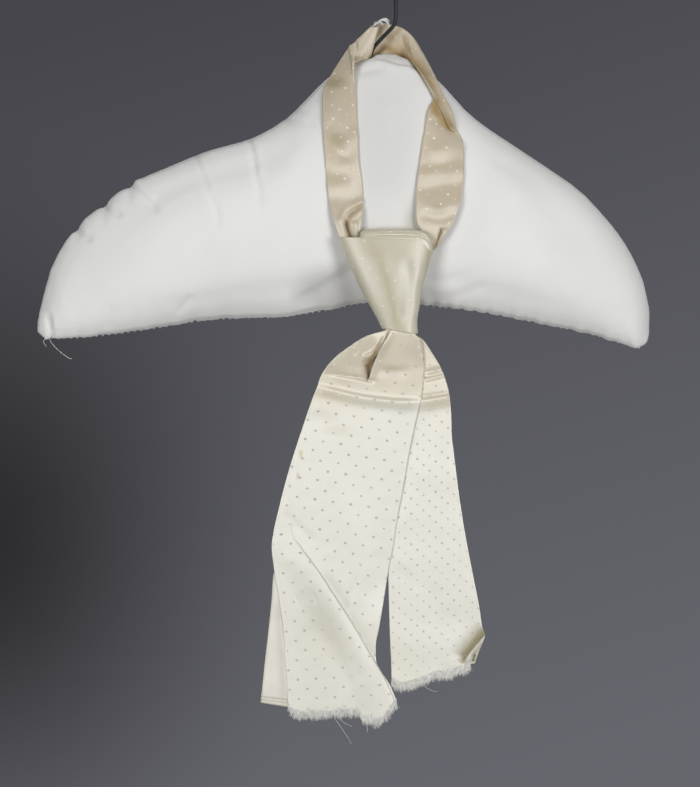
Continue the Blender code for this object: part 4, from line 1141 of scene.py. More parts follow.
def make_pad():
    """The padded cover: the solid's form filled like a cushion, then creased and sewn shut below."""
    for other in bpy.context.selected_objects:
        other.select_set(False)
    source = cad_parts["hanger_pad"]
    mesh = source.data.copy()
    merged = bmesh.new()
    merged.from_mesh(mesh)
    bmesh.ops.remove_doubles(merged, verts=merged.verts, dist=1e-6)
    merged.to_mesh(mesh)
    merged.free()
    mesh.materials.clear()
    pad = bpy.data.objects.new("padded_cover", mesh)
    bpy.context.scene.collection.objects.link(pad)
    bpy.context.view_layer.objects.active = pad
    pad.select_set(True)
    remesh = pad.modifiers.new("remesh", "REMESH")
    remesh.mode = "VOXEL"
    remesh.voxel_size = sizes().pad_voxel
    bpy.ops.object.modifier_apply(modifier="remesh")
    start, normals = places_and_normals(pad.data)
    slack = start - normals * PAD_SLACK
    pad.data.vertices.foreach_set("co", slack.ravel())
    filled = slack
    filled = fill_with_air(pad, slack)
    moved = filled - start
    reach = np.linalg.norm(moved, axis=1, keepdims=True)
    moved *= np.minimum(1.0, sizes().pad_swell / np.maximum(reach, 1e-9))
    moved *= (1 - under_cloth(start))[:, None]
    pad.data.vertices.foreach_set("co", (start + moved).ravel())
    pad.data.update()
    smooth = pad.modifiers.new("smooth", "SMOOTH")
    smooth.factor = 0.5
    smooth.iterations = 4
    bpy.ops.object.modifier_apply(modifier="smooth")
    finer = pad.modifiers.new("finer", "SUBSURF")
    finer.levels = finer.render_levels = 1
    bpy.ops.object.modifier_apply(modifier="finer")
    full = pad.modifiers.new("full", "SHRINKWRAP")
    full.target = source
    full.wrap_method = "NEAREST_SURFACEPOINT"
    full.wrap_mode = "OUTSIDE"
    bpy.ops.object.modifier_apply(modifier="full")
    broad = pad.vertex_groups.new(name="broad faces")
    for vertex in pad.data.vertices:
        broad.add([vertex.index], float(ease((abs(vertex.normal.y) - 0.3) / 0.4)), "REPLACE")
    even = pad.modifiers.new("even", "SMOOTH")
    even.factor = 0.5
    even.iterations = 60
    even.vertex_group = broad.name
    bpy.ops.object.modifier_apply(modifier="even")
    crease_pad(pad.data)
    muslin = plain_cloth("white muslin", colours().muslin, 2600, 0.85, 0.1, PAD_SHADES)
    pad.data.shade_smooth()
    pad.data.materials.append(muslin)
    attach(pad, BODY)
    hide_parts("hanger_pad")
    pad.select_set(False)
    return pad


def fill_with_air(pad, slack):
    """Blows the cover up a little, as its filling does, and gives where its points end."""
    cloth = pad.modifiers.new("filling", "CLOTH")
    settings = cloth.settings
    settings.use_pressure = True
    settings.uniform_pressure_force = 4.0
    settings.quality = 5
    settings.tension_stiffness = settings.compression_stiffness = 30
    settings.shear_stiffness = 10
    settings.bending_stiffness = 2
    settings.effector_weights.gravity = 0
    cloth.point_cache.frame_start, cloth.point_cache.frame_end = 1, 20
    for step in range(1, 21):
        bpy.context.scene.frame_set(step)
    shown = pad.evaluated_get(bpy.context.evaluated_depsgraph_get())
    places = np.zeros(len(shown.data.vertices) * 3)
    shown.data.vertices.foreach_get("co", places)
    pad.modifiers.remove(cloth)
    bpy.context.scene.frame_set(1)
    places = places.reshape(-1, 3)
    return places if places.shape == slack.shape else slack


def under_cloth(places):
    """1 where the neckband or knot lies close on the cover, 0 well away from them."""
    near = np.full(len(places), 1e9)
    for node in ("band_left", "band_right", "band_top", "knot_wrap"):
        tree = solid_tree(node)
        for i, place in enumerate(places):
            found = tree.find_nearest(Vector(place) / MM, 40.0)
            if found[3] is not None:
                near[i] = min(near[i], found[3])
    return 1 - ease((near - 10) / 18)


def crease_pad(mesh):
    """Presses the cover's folds in, front and back, and gathers its lower edge at each stitch."""
    places, normals = places_and_normals(mesh)
    x, drop = places[:, 0] / MM, -places[:, 2] / MM
    front = ease((0.25 - normals[:, 1]) / 0.5)
    height = relief(x, drop, PAD_FOLDS) * front + relief(x, drop, PAD_BACK_FOLDS) * (1 - front)
    height += 0.35 * rumple(x, drop, 70, 11) * (1 - under_cloth(places))
    upper_left = ease((0.85 * normals[:, 2] - 0.5 * normals[:, 0] - 0.45) / 0.4) * ease((-x - 50) / 30)
    gathered = sum(np.exp(-(((x - at) / 3.5) ** 2)) for at in PAD_GATHERS)
    height += upper_left * (1.3 - 1.5 * np.minimum(gathered, 1))
    along = np.linspace(PAD_LEFT, PAD_RIGHT, 90)
    bottom = np.interp(x, along, [bottom_of_pad(at) for at in along])
    near_seam = np.exp(-(((bottom - drop) / 5.0) ** 2))
    gathers = 0.5 + 0.5 * np.cos(2 * pi * (x + 2.0 * np.sin(x / 17)) / STITCH_PITCH)
    height += 0.3 * rumple(x, drop * 0.2, 15, 12) * np.exp(-(((bottom - drop) / 15.0) ** 2))
    to_right = 0.35 + 0.75 * ease((x + 20) / 80)
    height += near_seam * (0.5 - gathers) * to_right * (0.75 + 0.25 * np.sin(x / 31))
    places += normals * height[:, None] * MM
    mesh.vertices.foreach_set("co", places.ravel())
    mesh.update()


pad_tree = solid_tree("hanger_pad", bore=WIRE_BORE)


def bottom_of_pad(x):
    """The drop of the cover's lower edge."""
    hit = pad_tree.ray_cast(Vector((x, 0, -500)), Vector((0, 0, 1)))[0]
    return -hit.z if hit is not None else 265.0


def wire_curve(name, points, radius, thickness=None, sides=2):
    """A round wire along a smooth route, made as a bevelled curve and turned into a mesh."""
    bpy.ops.curve.primitive_nurbs_path_add(radius=1.0, location=(0, 0, 0))
    wire = bpy.context.object
    wire.name = name
    curve_data = wire.data
    curve_data.splines.clear()
    run = curve_data.splines.new("POLY")
    run.points.add(len(points) - 1)
    for k, place in enumerate(points):
        run.points[k].co = (*place, 1.0)
        run.points[k].radius = 1.0 if thickness is None else thickness[k]
    curve_data.dimensions = "3D"
    curve_data.bevel_depth = radius
    curve_data.bevel_resolution = sides
    curve_data.use_fill_caps = True
    bpy.ops.object.convert(target="MESH")
    wire.data.shade_smooth()
    wire.select_set(False)
    return wire


def finish_piece(pieces, name, material):
    """Joins pieces into one at the origin, and lets it ride on the body."""
    for piece in pieces:
        piece.select_set(True)
    bpy.context.view_layer.objects.active = pieces[0]
    if len(pieces) > 1:
        bpy.ops.object.join()
    bpy.ops.object.transform_apply(location=True, rotation=True, scale=True)
    whole = bpy.context.object
    whole.name = name
    whole.data.name = name
    whole.data.materials.clear()
    whole.data.materials.append(material)
    whole.select_set(False)
    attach(whole, BODY)
    return whole


def make_stitches(thread):
    """Whip stitches that close the cover's lower edge, and its loose thread ends."""
    chance = random.Random(21)
    radius = 0.18 * MM
    angles = pi * 1.15 * (np.linspace(0, 1, 7) - 0.5)
    arc = to_world(1.9 * np.linspace(-0.5, 0.5, 7), 2.2 * np.sin(angles), 2.0 * np.cos(angles) - 1.8)
    stitch = wire_curve("stitch", arc, radius)
    pieces = [stitch]
    for x in np.arange(-226, 192, STITCH_PITCH / 2):
        copy = stitch.copy()
        copy.data = stitch.data.copy()
        copy.location = (x * MM, 0.0, -bottom_of_pad(x) * MM)
        copy.rotation_euler = (0.0, 0.0, chance.uniform(-0.25, 0.15))
        bpy.context.scene.collection.objects.link(copy)
        pieces.append(copy)
    stitch.location = (194 * MM, 0.0, -bottom_of_pad(194) * MM)
    for points in PAD_THREADS:
        pieces.append(wire_curve("loose thread", to_world(*spline(points, 20).T), radius * 0.8))
    finish_piece(pieces, "cover_stitches", thread)


def make_hook():
    """The bent wire, with a rounded end."""
    route = [(p.x, 0.0, p.drop) for p in WIRE_STEM]
    for angle in np.radians(np.linspace(0, CROOK_END, 22))[1:]:
        route.append((CROOK_RADIUS * cos(angle), 0.0, CROOK_TOP - CROOK_RADIUS * sin(angle)))
    places = to_world(*spline(route, 150).T)
    thickness = np.ones(len(places))
    thickness[-2:] = (0.8, 0.35)
    wire = wire_curve("hook", places, WIRE_RADIUS * MM, thickness, sides=6)
    piece = finish_piece([wire], "hook", wire_material())
    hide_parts("hook_wire")


def band_stretch(table, zones, fit, folds, thickness, rise):
    """The middle surface of a stretch of neckband on the hanger's front, rows from the top down."""
    left, right = curve(table, "drop", "left"), curve(table, "drop", "right")
    base = stations(table[0].drop, zones)
    shares = edge_fractions(26.0, 0.8, thickness)
    drop = np.repeat(base[:, None], len(shares), axis=1)
    width = right(drop) - left(drop)
    x = left(drop) + width * shares
    y = np.minimum.accumulate(fit(x, drop), axis=0)
    forward = 0.4 + thickness / 2 + relief(x, drop, folds) + 0.25 * rumple(x, drop, 24, 5)
    forward += edge_lines(shares * width, (1 - shares) * width, 0.25)
    forward += rise.height * ease((drop - rise.start) / rise.length) * (1 - 0.7 * ease((drop - 194) / 10))
    return to_world(x, y - forward, drop) / MM


def edge_lines(from_left, from_right, depth):
    """The shallow lines beside folded edges, where the turned-in cloth ends."""
    return sum(-depth * np.exp(-(((away - 2.2) / 0.6) ** 2)) for away in (from_left, from_right))


def make_neckband(silk):
    """The neckband from the right shoulder, round behind the hook, down the left front into the knot."""
    thickness = sizes().band_thickness / MM
    shares = edge_fractions(26.0, 0.8, thickness)
    read = {field: curve(numbered(BAND_TOP), "k", field) for field in LoopRow._fields}
    at = np.linspace(0, len(BAND_TOP) - 1, 200)
    outer = np.stack([read["outer_x"](at), read["outer_y"](at), -read["outer_drop"](at)], axis=-1)
    inner = np.stack([read["inner_x"](at), read["inner_y"](at), -read["inner_drop"](at)], axis=-1)
    top = outer[:, None] + (inner - outer)[:, None] * shares[:, None]
    for row in top:
        for place in row:
            place[:] = clear_of_pad(place, thickness / 2 + 0.6)
    for _ in range(14):
        top[1:-1, 1:-1] += 0.35 * (
            (top[2:, 1:-1] + top[:-2, 1:-1] + top[1:-1, 2:] + top[1:-1, :-2]) / 4 - top[1:-1, 1:-1]
        )
    fit = front_surface("hanger_pad", (-36, 2), (80, 225))
    low = band_stretch(BAND_LEFT, [(165, 1.0), (211, 0.7)], fit, BAND_LEFT_FOLDS, thickness, LEFT_RISE)
    grid = np.concatenate([top, low[2:]])
    for _ in range(10):
        around = slice(len(top) - 14, len(top) + 14)
        before = slice(len(top) - 15, len(top) + 13)
        after = slice(len(top) - 13, len(top) + 15)
        grid[around] = (grid[before] + 2 * grid[around] + grid[after]) / 4
    normal = outward(grid)
    lift = relief(grid[: len(top), :, 0], -grid[: len(top), :, 2], BAND_TOP_FOLDS)
    front_facing = ease((-normal[: len(top), :, 1] + 0.1) / 0.3)
    grid[: len(top)] += normal[: len(top)] * (lift * front_facing)[..., None]
    front, back = wall(grid, thickness, normal, rim=0.7)
    passed, _ = column_distance(grid)
    steps = np.linalg.norm(np.diff(grid.mean(axis=1), axis=0), axis=1)
    length = np.concatenate([[0], np.cumsum(steps)])
    uv = np.stack([passed, np.repeat(length[:, None], passed.shape[1], axis=1)], axis=-1)
    piece = shell("neckband_left", front * MM, back * MM, uv, silk, wear=shade_and_wear_map(grid, BAND_PAINTED_SHADE))
    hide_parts("band_left", "band_top")


def shade_and_wear_map(grid, places):
    """How much painted shade and wear each place of a grid in millimetres gets."""
    return relief(grid[..., 0], -grid[..., 2], places)


def numbered(table):
    """The table with its row numbers as column k."""
    Numbered = namedtuple("Numbered", ("k",) + table[0]._fields)
    return [Numbered(k, *row) for k, row in enumerate(table)]


def clear_of_pad(place, gap):
    """The place, moved out of the hanger's cover until it is clear of it by a gap."""
    spot = Vector(place)
    for _ in range(6):
        near, normal, _, away = pad_tree.find_nearest(spot)
        inside = away < 8 and (spot - near).dot(normal) < 0
        if away >= gap and not inside:
            break
        spot = near + normal * (gap + 0.01)
    return spot


def make_right_band(silk):
    """The neckband's right front stretch, which comes out under the twisted shoulder."""
    thickness = sizes().band_thickness / MM
    fit = front_surface("hanger_pad", (30, 70), (88, 225))
    grid = band_stretch(BAND_RIGHT, [(165, 0.9), (211, 0.7)], fit, BAND_RIGHT_FOLDS, thickness, RIGHT_RISE)
    front, back = wall(grid, thickness, outward(grid), rim=0.7)
    passed, _ = column_distance(grid)
    uv = np.stack([passed, -grid[..., 2]], axis=-1)
    piece = shell("neckband_right", front * MM, back * MM, uv, silk, wear=shade_and_wear_map(grid, BAND_PAINTED_SHADE))
    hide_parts("band_right")


def make_knot(silk):
    """The knot's last turn: a sleeve, open above and below, with rounded rims."""
    thickness = sizes().sleeve_thickness / MM
    read = {field: curve(KNOT, "drop", field) for field in KnotRow._fields}
    columns = 200
    angle = pi / 2 - 2 * pi * np.arange(columns) / columns
    right, rear = np.cos(angle), np.sin(angle)
    top = KNOT_TOP_FRONT + 0.9 * np.sin(2.6 * right + 0.4) + ease(rear) * (KNOT_TOP_BACK - KNOT_TOP_FRONT)
    bottom = KNOT_BOTTOM_LEFT + (KNOT_BOTTOM_RIGHT - KNOT_BOTTOM_LEFT) * ease((right + 1) / 2)
    shares = edge_fractions(66.0, 0.9, thickness / 2)[:, None]
    drop = top + (bottom - top) * shares
    left_x, right_x = read["left"](drop), read["right"](drop)
    front_y, back_y = read["front"](drop), read["back"](drop)
    power = 2 / np.where(rear < 0, FRONT_SQUARENESS, BACK_SQUARENESS)
    reach_x = (right_x - left_x) / 2 - thickness / 2
    reach_y = (back_y - front_y) / 2 - thickness / 2
    x = (left_x + right_x) / 2 + reach_x * np.sign(right) * np.abs(right) ** power
    y = (front_y + back_y) / 2 + reach_y * np.sign(rear) * np.abs(rear) ** power
    grid = to_world(x, y, drop) / MM
    grid = even_columns(grid)
    normal = outward(grid, closed=True)
    facing = ease((-normal[..., 1] - 0.2) / 0.5)
    behind = ease((normal[..., 1] - 0.2) / 0.5)
    x, drop = grid[..., 0], -grid[..., 2]
    lift = relief(x, drop, KNOT_FOLDS) * facing + relief(x, drop, KNOT_BACK_FOLDS) * behind
    lift += 0.06 * rumple(x, drop, 22, 9)
    grid = grid + normal * lift[..., None]
    front, back = wall(grid, thickness, outward(grid, closed=True), closed=True)
    loop = np.concatenate([grid, grid[:, :1]], axis=1)
    passed, _ = column_distance(loop)
    middle = np.argmin(np.abs(loop[..., 0] - 12) + 1e3 * (loop[..., 1] > -42), axis=1)
    at_middle = np.take_along_axis(passed, middle[:, None], axis=1)
    uv = np.stack([passed - at_middle + 12, -loop[..., 2]], axis=-1)
    wear = shade_and_wear_map(grid, KNOT_PAINTED_SHADE)
    piece = shell("knot_sleeve", front * MM, back * MM, uv, silk, closed=True, wear=wear)
    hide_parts("knot_wrap", "knot_core")


def even_columns(grid):
    """The same closed loops with their points evenly spaced round them, from the same first point."""
    made = np.empty_like(grid)
    count = grid.shape[1]
    for k, row in enumerate(grid):
        loop = np.vstack([row, row[:1]])
        passed = np.concatenate([[0], np.cumsum(np.linalg.norm(np.diff(loop, axis=0), axis=1))])
        wanted = np.linspace(0, passed[-1], count + 1)[:-1]
        for axis in range(3):
            made[k, :, axis] = np.interp(wanted, passed, loop[:, axis])
    return made


def make_roll(silk):
    """The turn that rolls over behind the knot's rim, with a thin fold along it."""
    top, depth = curve(ROLL, "x", "top"), curve(ROLL, "x", "depth")
    shares = edge_fractions(52.0, 0.8, 1.0)
    x = ROLL[0].x + (ROLL[-1].x - ROLL[0].x) * shares
    turn = np.radians(np.linspace(60, 300, 60))[:, None]
    half = (ROLL_BOTTOM - top(x)) / 2
    level = np.cos(turn - pi)
    drop = (ROLL_BOTTOM + top(x)) / 2 - half * np.sign(level) * np.abs(level) ** 0.8
    y = ROLL_Y - depth(x) * np.sin(turn - pi)
    grid = to_world(x, y, drop) / MM
    grid = grid[::-1] if grid[0, 0, 1] < grid[-1, 0, 1] else grid
    normal = outward(grid)
    lift = relief(grid[..., 0], -grid[..., 2], ROLL_FOLDS)
    grid = grid + normal * (lift * ease(-normal[..., 1] / 0.3))[..., None]
    front, back = wall(grid, 1.4, outward(grid))
    passed = np.cumsum(np.linalg.norm(np.diff(grid, axis=0, prepend=grid[:1]), axis=2), axis=0)
    uv = np.stack([grid[..., 0], passed], axis=-1)
    piece = shell("knot_roll_cloth", front * MM, back * MM, uv, silk)
    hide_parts("knot_roll")


def blade_depth(drop, top_y, low_y):
    """The depth of a blade's middle surface before its folds."""
    return top_y + (low_y - top_y) * ease((drop - BLADE_TOP) / BLADE_SETTLE)


def blade_wall(grid, base, rim):
    """The front and back of a blade, thicker where its top is gathered."""
    thin = sizes().blade_thickness / MM
    gathered = 1 + (GATHER_THICK / thin - 1) * (1 - ease((base - BLADE_TOP) / (GATHER_END - BLADE_TOP)))
    return wall(grid, thin, np.broadcast_to(TO_VIEWER, grid.shape) * gathered[..., None], rim=rim)


def bend_to_hem(base, hem, x_end, end):
    """Each place's drop, where the lowest rows bend to the cut edge."""
    reach = (base - BLADE_TOP) / (end - BLADE_TOP)
    return base + (hem(x_end) - FRAY_LENGTH - end) * reach**10


def make_front_blade(silk):
    """The front blade: its pleat under the knot, its cross folds, and its lower corner folded over."""
    left, crease, right = (curve(BLADE_FRONT, "drop", f) for f in ("left", "crease", "right"))
    hem_line = curve(FRONT_HEM, "x", "drop")
    end = BLADE_FRONT[-1].drop - FRAY_LENGTH
    zones = [(258, 1.2), (320, 0.7), (392, 1.6), (426, 1.0), (end - 6, 1.5), (end, 0.9)]
    base = stations(BLADE_TOP, zones)[:, None]
    flap = main = edge_fractions(46.0, 1.0, 1.2)
    gap = 0.25

    def across(level):
        return np.concatenate(
            [
                left(level) + (crease(level) - gap - left(level)) * flap,
                crease(level) + gap + (right(level) - crease(level) - gap) * main,
            ],
            axis=-1,
        )

    x = across(base)
    x_end = across(np.array([[end]]))
    drop = bend_to_hem(base, hem_line, x_end, end)
    on_flap = (np.arange(x.shape[1]) < len(flap))[None, :]
    from_crease = np.abs(x - crease(base))
    height = relief(x, drop, BLADE_FRONT_FOLDS)
    height = height + 0.10 * rumple(x, drop, 48, 3) + 0.02 * rumple(x, drop, 15, 4)
    rounding = rim_share(from_crease, 1.6)
    corner = 1.7 * ease((base - 397) / 34) * (1 - 0.8 * ease((from_crease - 6) / 24))
    height = height + np.where(on_flap, corner * rounding, 0.0)
    valley_width = 1.1 + 1.2 * ease((base - 268) / 14)
    valley = ease((base - 256) / 6) * ease((294.6 - base) / 1.6)
    pocket = np.exp(-((from_crease / valley_width) ** 2))
    height = height - np.where(on_flap, valley * 3.0 * pocket, 0.0)
    lip = valley * 0.9 * (rounding - 1) + valley * 0.7 * np.exp(-((from_crease / 4) ** 2))
    height = height + np.where(on_flap, 0.0, lip)
    height = height - np.where(on_flap, POCKET_DEPTH * inside_corners(x, drop, POCKET), 0.0)
    height = height + edge_lines(x - left(base), right(base) - x, 0.12) * ease((base - 262) / 10)
    resting = ease((base - 262) / 24) * (1 - ease((base - 440) / 30))
    height = height - 1.5 * ease((x - right(base) + 18) / 18) * resting
    y = blade_depth(drop, FRONT_TOP_Y, FRONT_LOW_Y) - height
    grid = to_world(x, y, drop) / MM
    front, back = blade_wall(grid, base, rim=1.5)
    main_uv = np.stack([x, drop], axis=-1)
    flap_uv = turned(main_uv, FLAP_CENTRE, FLAP_DEGREES, FLAP_DOTS_AT)
    folded = (on_flap & (base > 396))[..., None]
    uv = np.where(folded, flap_uv, main_uv)
    maps = {"from_cut": drop[-1:] - drop, "wear": shade_and_wear_map(grid, BLADE_PAINTED_SHADE)}
    piece = shell("blade_front_cloth", front * MM, back * MM, uv, silk, **maps)
    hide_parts("blade_front")
    return front[-1]


def inside_corners(x, drop, corners):
    """1 well inside a shape with the given corners, 0 outside it, with soft walls between."""
    least = np.full(x.shape, 1e9)
    for start, end in zip(corners, corners[1:] + corners[:1]):
        along = np.subtract(end, start)
        off = (along[1] * (x - start[0]) - along[0] * (drop - start[1])) / np.hypot(*along)
        least = np.minimum(least, off)
    return ease(least / POCKET_SLOPE)


def turned(places, centre, degrees, to):
    """Flat places turned about a centre, which then lies at another place."""
    angle = radians(degrees)
    off = places - np.array(centre)
    x = off[..., 0] * cos(angle) - off[..., 1] * sin(angle)
    y = off[..., 0] * sin(angle) + off[..., 1] * cos(angle)
    return np.stack([x, y], axis=-1) + np.array(to)


def panel(table, hem, zones, columns, top_y, low_y, folds, seed, behind=0.0, fray=0.0):
    """The middle surface of a flat hanging piece with its folds."""
    left, right = curve(table, "drop", "left"), curve(table, "drop", "right")
    hem_at = curve(hem, "x", "drop")
    start, end = table[0].drop, table[-1].drop - fray
    base = stations(start, zones)[:, None]
    shares = edge_fractions(50.0, 50.0 / columns, 1.2)
    x = left(base) + (right(base) - left(base)) * shares
    x_end = left(end) + (right(end) - left(end)) * shares
    reach = (base - start) / (end - start)
    drop = base + (hem_at(x_end) - fray - end) * reach**10
    height = relief(x, drop, folds) + 0.10 * rumple(x, drop, 44, seed) + 0.02 * rumple(x, drop, 15, seed + 1)
    height = height + edge_lines(x - left(base), right(base) - x, 0.12) * ease((base - start - 10) / 10)
    y = blade_depth(drop, top_y, low_y) + behind - height
    return to_world(x, y, drop) / MM, base


def make_back_blade(silk):
    """The back blade, with its lower right corner turned up."""
    zones = [(262, 1.5), (320, 0.8), (460, 1.7), (BLADE_BACK[-1].drop - FRAY_LENGTH, 0.8)]
    grid, base = panel(
        BLADE_BACK, BACK_HEM, zones, 64, BACK_TOP_Y, BACK_LOW_Y, BLADE_BACK_FOLDS, 6, fray=FRAY_LENGTH
    )
    front, back = blade_wall(grid, base, rim=1.0)
    uv = np.stack([grid[..., 0], -grid[..., 2]], axis=-1)
    maps = {"from_cut": uv[-1:, :, 1] - uv[..., 1], "wear": shade_and_wear_map(grid, BACK_PAINTED_SHADE)}
    piece = shell("blade_back_cloth", front * MM, back * MM, uv, silk, **maps)
    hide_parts("blade_back")
    return front[-1]


def make_lining():
    """The plain lining behind the front blade's left edge, with its hem."""
    folds = [
        Fold(-0.35, 0.5, 0.5, [(-84, 521.6), (-76, 522.4), (-64, 524.0), (-48, 526)]),
        Fold(-0.35, 0.5, 0.5, [(-84, 523.6), (-76, 524.4), (-64, 526.0), (-48, 528)]),
    ]
    thin = sizes().lining_thickness / MM
    behind = (sizes().blade_thickness / MM + thin) / 2 - 0.65
    zones = [(520, 2.0), (527, 0.4)]
    grid, _ = panel(LINING, LINING_HEM, zones, 34, FRONT_TOP_Y, FRONT_LOW_Y, folds, 8, behind)
    front, back = wall(grid, thin, np.broadcast_to(TO_VIEWER, grid.shape))
    uv = np.stack([grid[..., 0], -grid[..., 2]], axis=-1)
    silk = satin("plain lining silk", colours().lining, wear=OCHRE)
    piece = shell("lining_cloth", front * MM, back * MM, uv, silk, wear=shade_and_wear_map(grid, LINING_WEAR_AND_SHADE))
    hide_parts("lining_tail")


def make_fray(name, node, edge, seed, thread, loose, until=100.0):
    """Loose threads along a cut edge: uneven tufts of short ones, and a few long ones."""
    chance = random.Random(seed)
    xs, ys, drops = edge[:, 0], edge[:, 1], -edge[:, 2]
    radius = sizes().thread_radius
    routes = []
    for _ in range(sizes().strands):
        x = chance.uniform(xs[0] + 0.2, min(xs[-1] - 0.2, until))
        y, drop = np.interp(x, xs, ys), np.interp(x, xs, drops)
        tuft = 0.5 + 0.5 * sin(x / 1.9 + seed) * sin(x / 0.83 + 2 * seed)
        length = chance.uniform(2.6, 5.2) + 2.4 * tuft * chance.uniform(0.3, 1.0)
        start = chance.uniform(0.3, 2.4)
        gather = TUFT_PITCH * round(x / TUFT_PITCH + 0.3 * sin(x + seed)) - x
        lean = 0.6 * gather + 0.9 * sin(x / 3.1 + seed) + chance.gauss(0, 0.5)
        depth = chance.uniform(0.1, 1.0)
        curl = chance.gauss(0, 0.5)
        points = []
        for t in np.linspace(0, 1, 5):
            px = x + lean * t * t * 1.3 + curl * sin(pi * t) * 0.35
            py = y + depth * (1 - 0.4 * t) - 0.35 * (1 - t) - 0.8 * t * chance.uniform(0, 0.6)
            points.append(to_world(px, py, drop - start + (length + start) * t))
        routes.append((points, [radius, radius, radius * 0.9, radius * 0.7, radius * 0.35]))
    for points in loose:
        route = to_world(*spline(points, 14).T)
        routes.append((route, np.linspace(radius * 1.1, radius * 0.8, len(route))))
    piece = joined_tubes(name, routes, thread)
    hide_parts(node)


def make_apex_threads(thread):
    """The few broken threads at the top of the neckband."""
    radius = sizes().thread_radius * 1.6
    chance = random.Random(31)
    routes = []
    for points in APEX_THREADS:
        for _ in range(5):
            moved = [tuple(c + chance.gauss(0, 0.45) for c in point) for point in points]
            route = to_world(*spline(moved, 12).T)
            routes.append((route, [radius] * len(route)))
    piece = joined_tubes("neckband_threads", routes, thread)


# Camera, light and floor
CAMERA_X, CAMERA_Z = -15.1, -303.5
CAMERA_DISTANCE = 8.0
VIEW_HEIGHT = 566.6
CLOTH_Y = -35.0
SENSOR = 36.0
Lamp = namedtuple("Lamp", "name x y z size watts")
LAMPS = [
    Lamp("key", 1.45, -2.2, 0.15, 1.0, 35),
    Lamp("fill", -1.35, -2.2, 0.15, 1.0, 31),
    Lamp("top", 0.3, -0.6, 1.7, 1.2, 6),
    Lamp("rear", 0.0, 2.2, 0.6, 1.4, 20),
]


def make_stage():
    """The camera at the photo's angle, soft lamps, the grey backdrop and a pale floor."""
    scene = bpy.context.scene
    data = bpy.data.cameras.new("camera")
    data.sensor_fit = "AUTO"
    data.sensor_width = SENSOR
    data.lens = SENSOR * CAMERA_DISTANCE / (VIEW_HEIGHT * MM)
    data.clip_end = 50
    camera = bpy.data.objects.new("camera", data)
    camera.location = (CAMERA_X * MM, CLOTH_Y * MM - CAMERA_DISTANCE, CAMERA_Z * MM)
    camera.rotation_euler = (pi / 2, 0, 0)
    scene.collection.objects.link(camera)
    scene.camera = camera
    centre = Vector((0.0, 0.0, -0.28))
    for lamp in LAMPS:
        light = bpy.data.lights.new(lamp.name, "AREA")
        light.size = lamp.size
        light.energy = lamp.watts
        holder = bpy.data.objects.new(lamp.name, light)
        holder.location = (lamp.x, lamp.y, lamp.z - 0.28)
        holder.rotation_euler = (centre - holder.location).to_track_quat("-Z", "Y").to_euler()
        scene.collection.objects.link(holder)
    world = bpy.data.worlds.new("studio")
    world.use_nodes = True
    tree = world.node_tree
    where = tree.nodes.new("ShaderNodeTexCoord")
    slant = tree.nodes.new("ShaderNodeVectorMath")
    slant.operation = "DOT_PRODUCT"
    slant.inputs[1].default_value = (0.30, 0.0, -0.95)
    shade = tree.nodes.new("ShaderNodeMapRange")
    shade.inputs["From Min"].default_value = -0.040
    shade.inputs["From Max"].default_value = 0.036
    away = tree.nodes.new("ShaderNodeVectorMath")
    away.operation = "MULTIPLY_ADD"
    away.inputs[1].default_value = (66.0, 0.0, 55.0)
    away.inputs[2].default_value = (2.25, 0.0, 0.75)
    far = tree.nodes.new("ShaderNodeVectorMath")
    far.operation = "LENGTH"
    dim = tree.nodes.new("ShaderNodeMapRange")
    dim.interpolation_type = "SMOOTHSTEP"
    dim.inputs["From Max"].default_value = 2.2
    dim.inputs["To Min"].default_value = 0.25
    mix = tree.nodes.new("ShaderNodeMix")
    mix.data_type = "RGBA"
    backdrop = tuple(colours().backdrop)
    mix.inputs[6].default_value = (*(c * 0.68 for c in backdrop), 1.0)
    mix.inputs[7].default_value = (*(c * 1.50 for c in backdrop), 1.0)
    for source, target in (
        (where.outputs["Generated"], slant.inputs[0]),
        (where.outputs["Generated"], away.inputs[0]),
        (slant.outputs["Value"], shade.inputs["Value"]),
        (shade.outputs[0], mix.inputs["Factor"]),
        (away.outputs["Vector"], far.inputs[0]),
        (far.outputs["Value"], dim.inputs["Value"]),
        (dim.outputs[0], tree.nodes["Background"].inputs["Strength"]),
    ):
        tree.links.new(source, target)
    tree.links.new(mix.outputs[2], tree.nodes["Background"].inputs["Color"])
    scene.world = world
    scene.view_settings.view_transform = "Standard"
    for other in bpy.context.selected_objects:
        other.select_set(False)
    bpy.ops.mesh.primitive_circle_add(vertices=96, radius=1.1, fill_type="NGON", location=(0, 0, -0.8))
    floor = bpy.context.object
    floor.name = "floor"
    shader = Shader("pale floor")
    shade = shader.noise(shader.place(), 6, 3.0)
    pale = tuple(colours().floor)
    shader.put(shader.surface.inputs["Base Color"], shader.mix(shade, pale, tuple(c * 0.94 for c in pale)))
    shader.surface.inputs["Roughness"].default_value = 0.8
    floor.data.materials.append(shader.material)
    floor.select_set(False)


class CRAVAT_OT_stage(bpy.types.Operator):
    """Adds the camera, lamps, backdrop and floor"""

    bl_idname = "cravat.stage"
    bl_label = "Stage"

    def execute(self, context):
        make_stage()
        return {"FINISHED"}


class CRAVAT_OT_hanger(bpy.types.Operator):
    """Adds the padded cover, its stitches and the wire hook"""

    bl_idname = "cravat.hanger"
    bl_label = "Hanger"

    def execute(self, context):
        make_pad()
        make_stitches(thread_material())
        make_hook()
        return {"FINISHED"}


class CRAVAT_OT_neckband(bpy.types.Operator):
    """Adds the neckband's stretches"""

    bl_idname = "cravat.neckband"
    bl_label = "Neckband"

    def execute(self, context):
        silk = satin(
            "neckband satin", colours().aged, BAND_DOTS, BAND_STAINS, wear=AMBER, gloss=BAND_ROUGHNESS
        )
        make_neckband(silk)
        make_right_band(silk)
        make_apex_threads(thread_material())
        return {"FINISHED"}


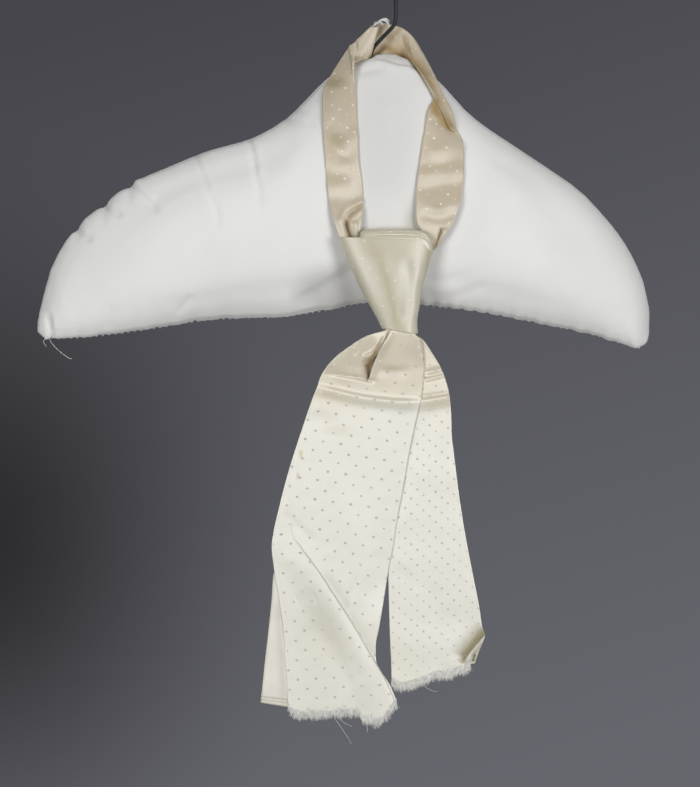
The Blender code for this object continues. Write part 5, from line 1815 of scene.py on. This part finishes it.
class CRAVAT_OT_knot(bpy.types.Operator):
    """Adds the knot's sleeve and the roll behind its rim"""

    bl_idname = "cravat.knot"
    bl_label = "Knot"

    def execute(self, context):
        silk = satin(
            "knot satin", colours().satin, KNOT_DOTS,
            turn=KNOT_TURN, dark_dots=KNOT_DARK, wear=SHADE, gloss=KNOT_ROUGHNESS,
        )
        make_knot(silk)
        make_roll(satin("roll satin", colours().satin, KNOT_DOTS))
        return {"FINISHED"}


class CRAVAT_OT_blades(bpy.types.Operator):
    """Adds both blades, their frayed ends and the lining"""

    bl_idname = "cravat.blades"
    bl_label = "Blades"

    def execute(self, context):
        base = colours().blade
        both = {"frayed": True, "dark_dots": BLADE_DARK, "tan_above": TAN_ABOVE}
        front_silk = satin("front blade satin", base, BLADE_DOTS, BLADE_STAINS, wear=OCHRE, **both)
        back_silk = satin("back blade satin", base, PANEL_DOTS, wear=OLIVE, **both)
        front_edge = make_front_blade(front_silk)
        back_edge = make_back_blade(back_silk)
        make_lining()
        thread = thread_material()
        make_fray("fray_front_threads", "fray_front", front_edge, 3, thread, LOOSE_THREADS[:3])
        make_fray("fray_back_threads", "fray_back", back_edge, 5, thread, LOOSE_THREADS[3:], until=71.3)
        return {"FINISHED"}


class CRAVAT_PT_panel(bpy.types.Panel):
    """Lists the cravat's steps, sizes and colours"""

    bl_idname = "CRAVAT_PT_panel"
    bl_label = "Cravat"
    bl_space_type = "VIEW_3D"
    bl_region_type = "UI"
    bl_category = "Cravat"

    def draw(self, context):
        for step in STEPS:
            self.layout.operator(step.bl_idname)
        for group in (context.scene.cravat_sizes, context.scene.cravat_colours):
            column = self.layout.column()
            for name in group.__annotations__:
                column.prop(group, name)


STEPS = (CRAVAT_OT_stage, CRAVAT_OT_hanger, CRAVAT_OT_neckband, CRAVAT_OT_knot, CRAVAT_OT_blades)
CLASSES = (CravatSizes, CravatColours, *STEPS, CRAVAT_PT_panel)


def register():
    for made in CLASSES:
        bpy.utils.register_class(made)
    bpy.types.Scene.cravat_sizes = PointerProperty(type=CravatSizes)
    bpy.types.Scene.cravat_colours = PointerProperty(type=CravatColours)


def unregister():
    del bpy.types.Scene.cravat_colours
    del bpy.types.Scene.cravat_sizes
    for made in reversed(CLASSES):
        bpy.utils.unregister_class(made)


def main():
    register()
    bpy.ops.cravat.stage()
    bpy.ops.cravat.hanger()
    bpy.ops.cravat.neckband()
    bpy.ops.cravat.knot()
    bpy.ops.cravat.blades()
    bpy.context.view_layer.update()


if __name__ == "__main__":
    main()
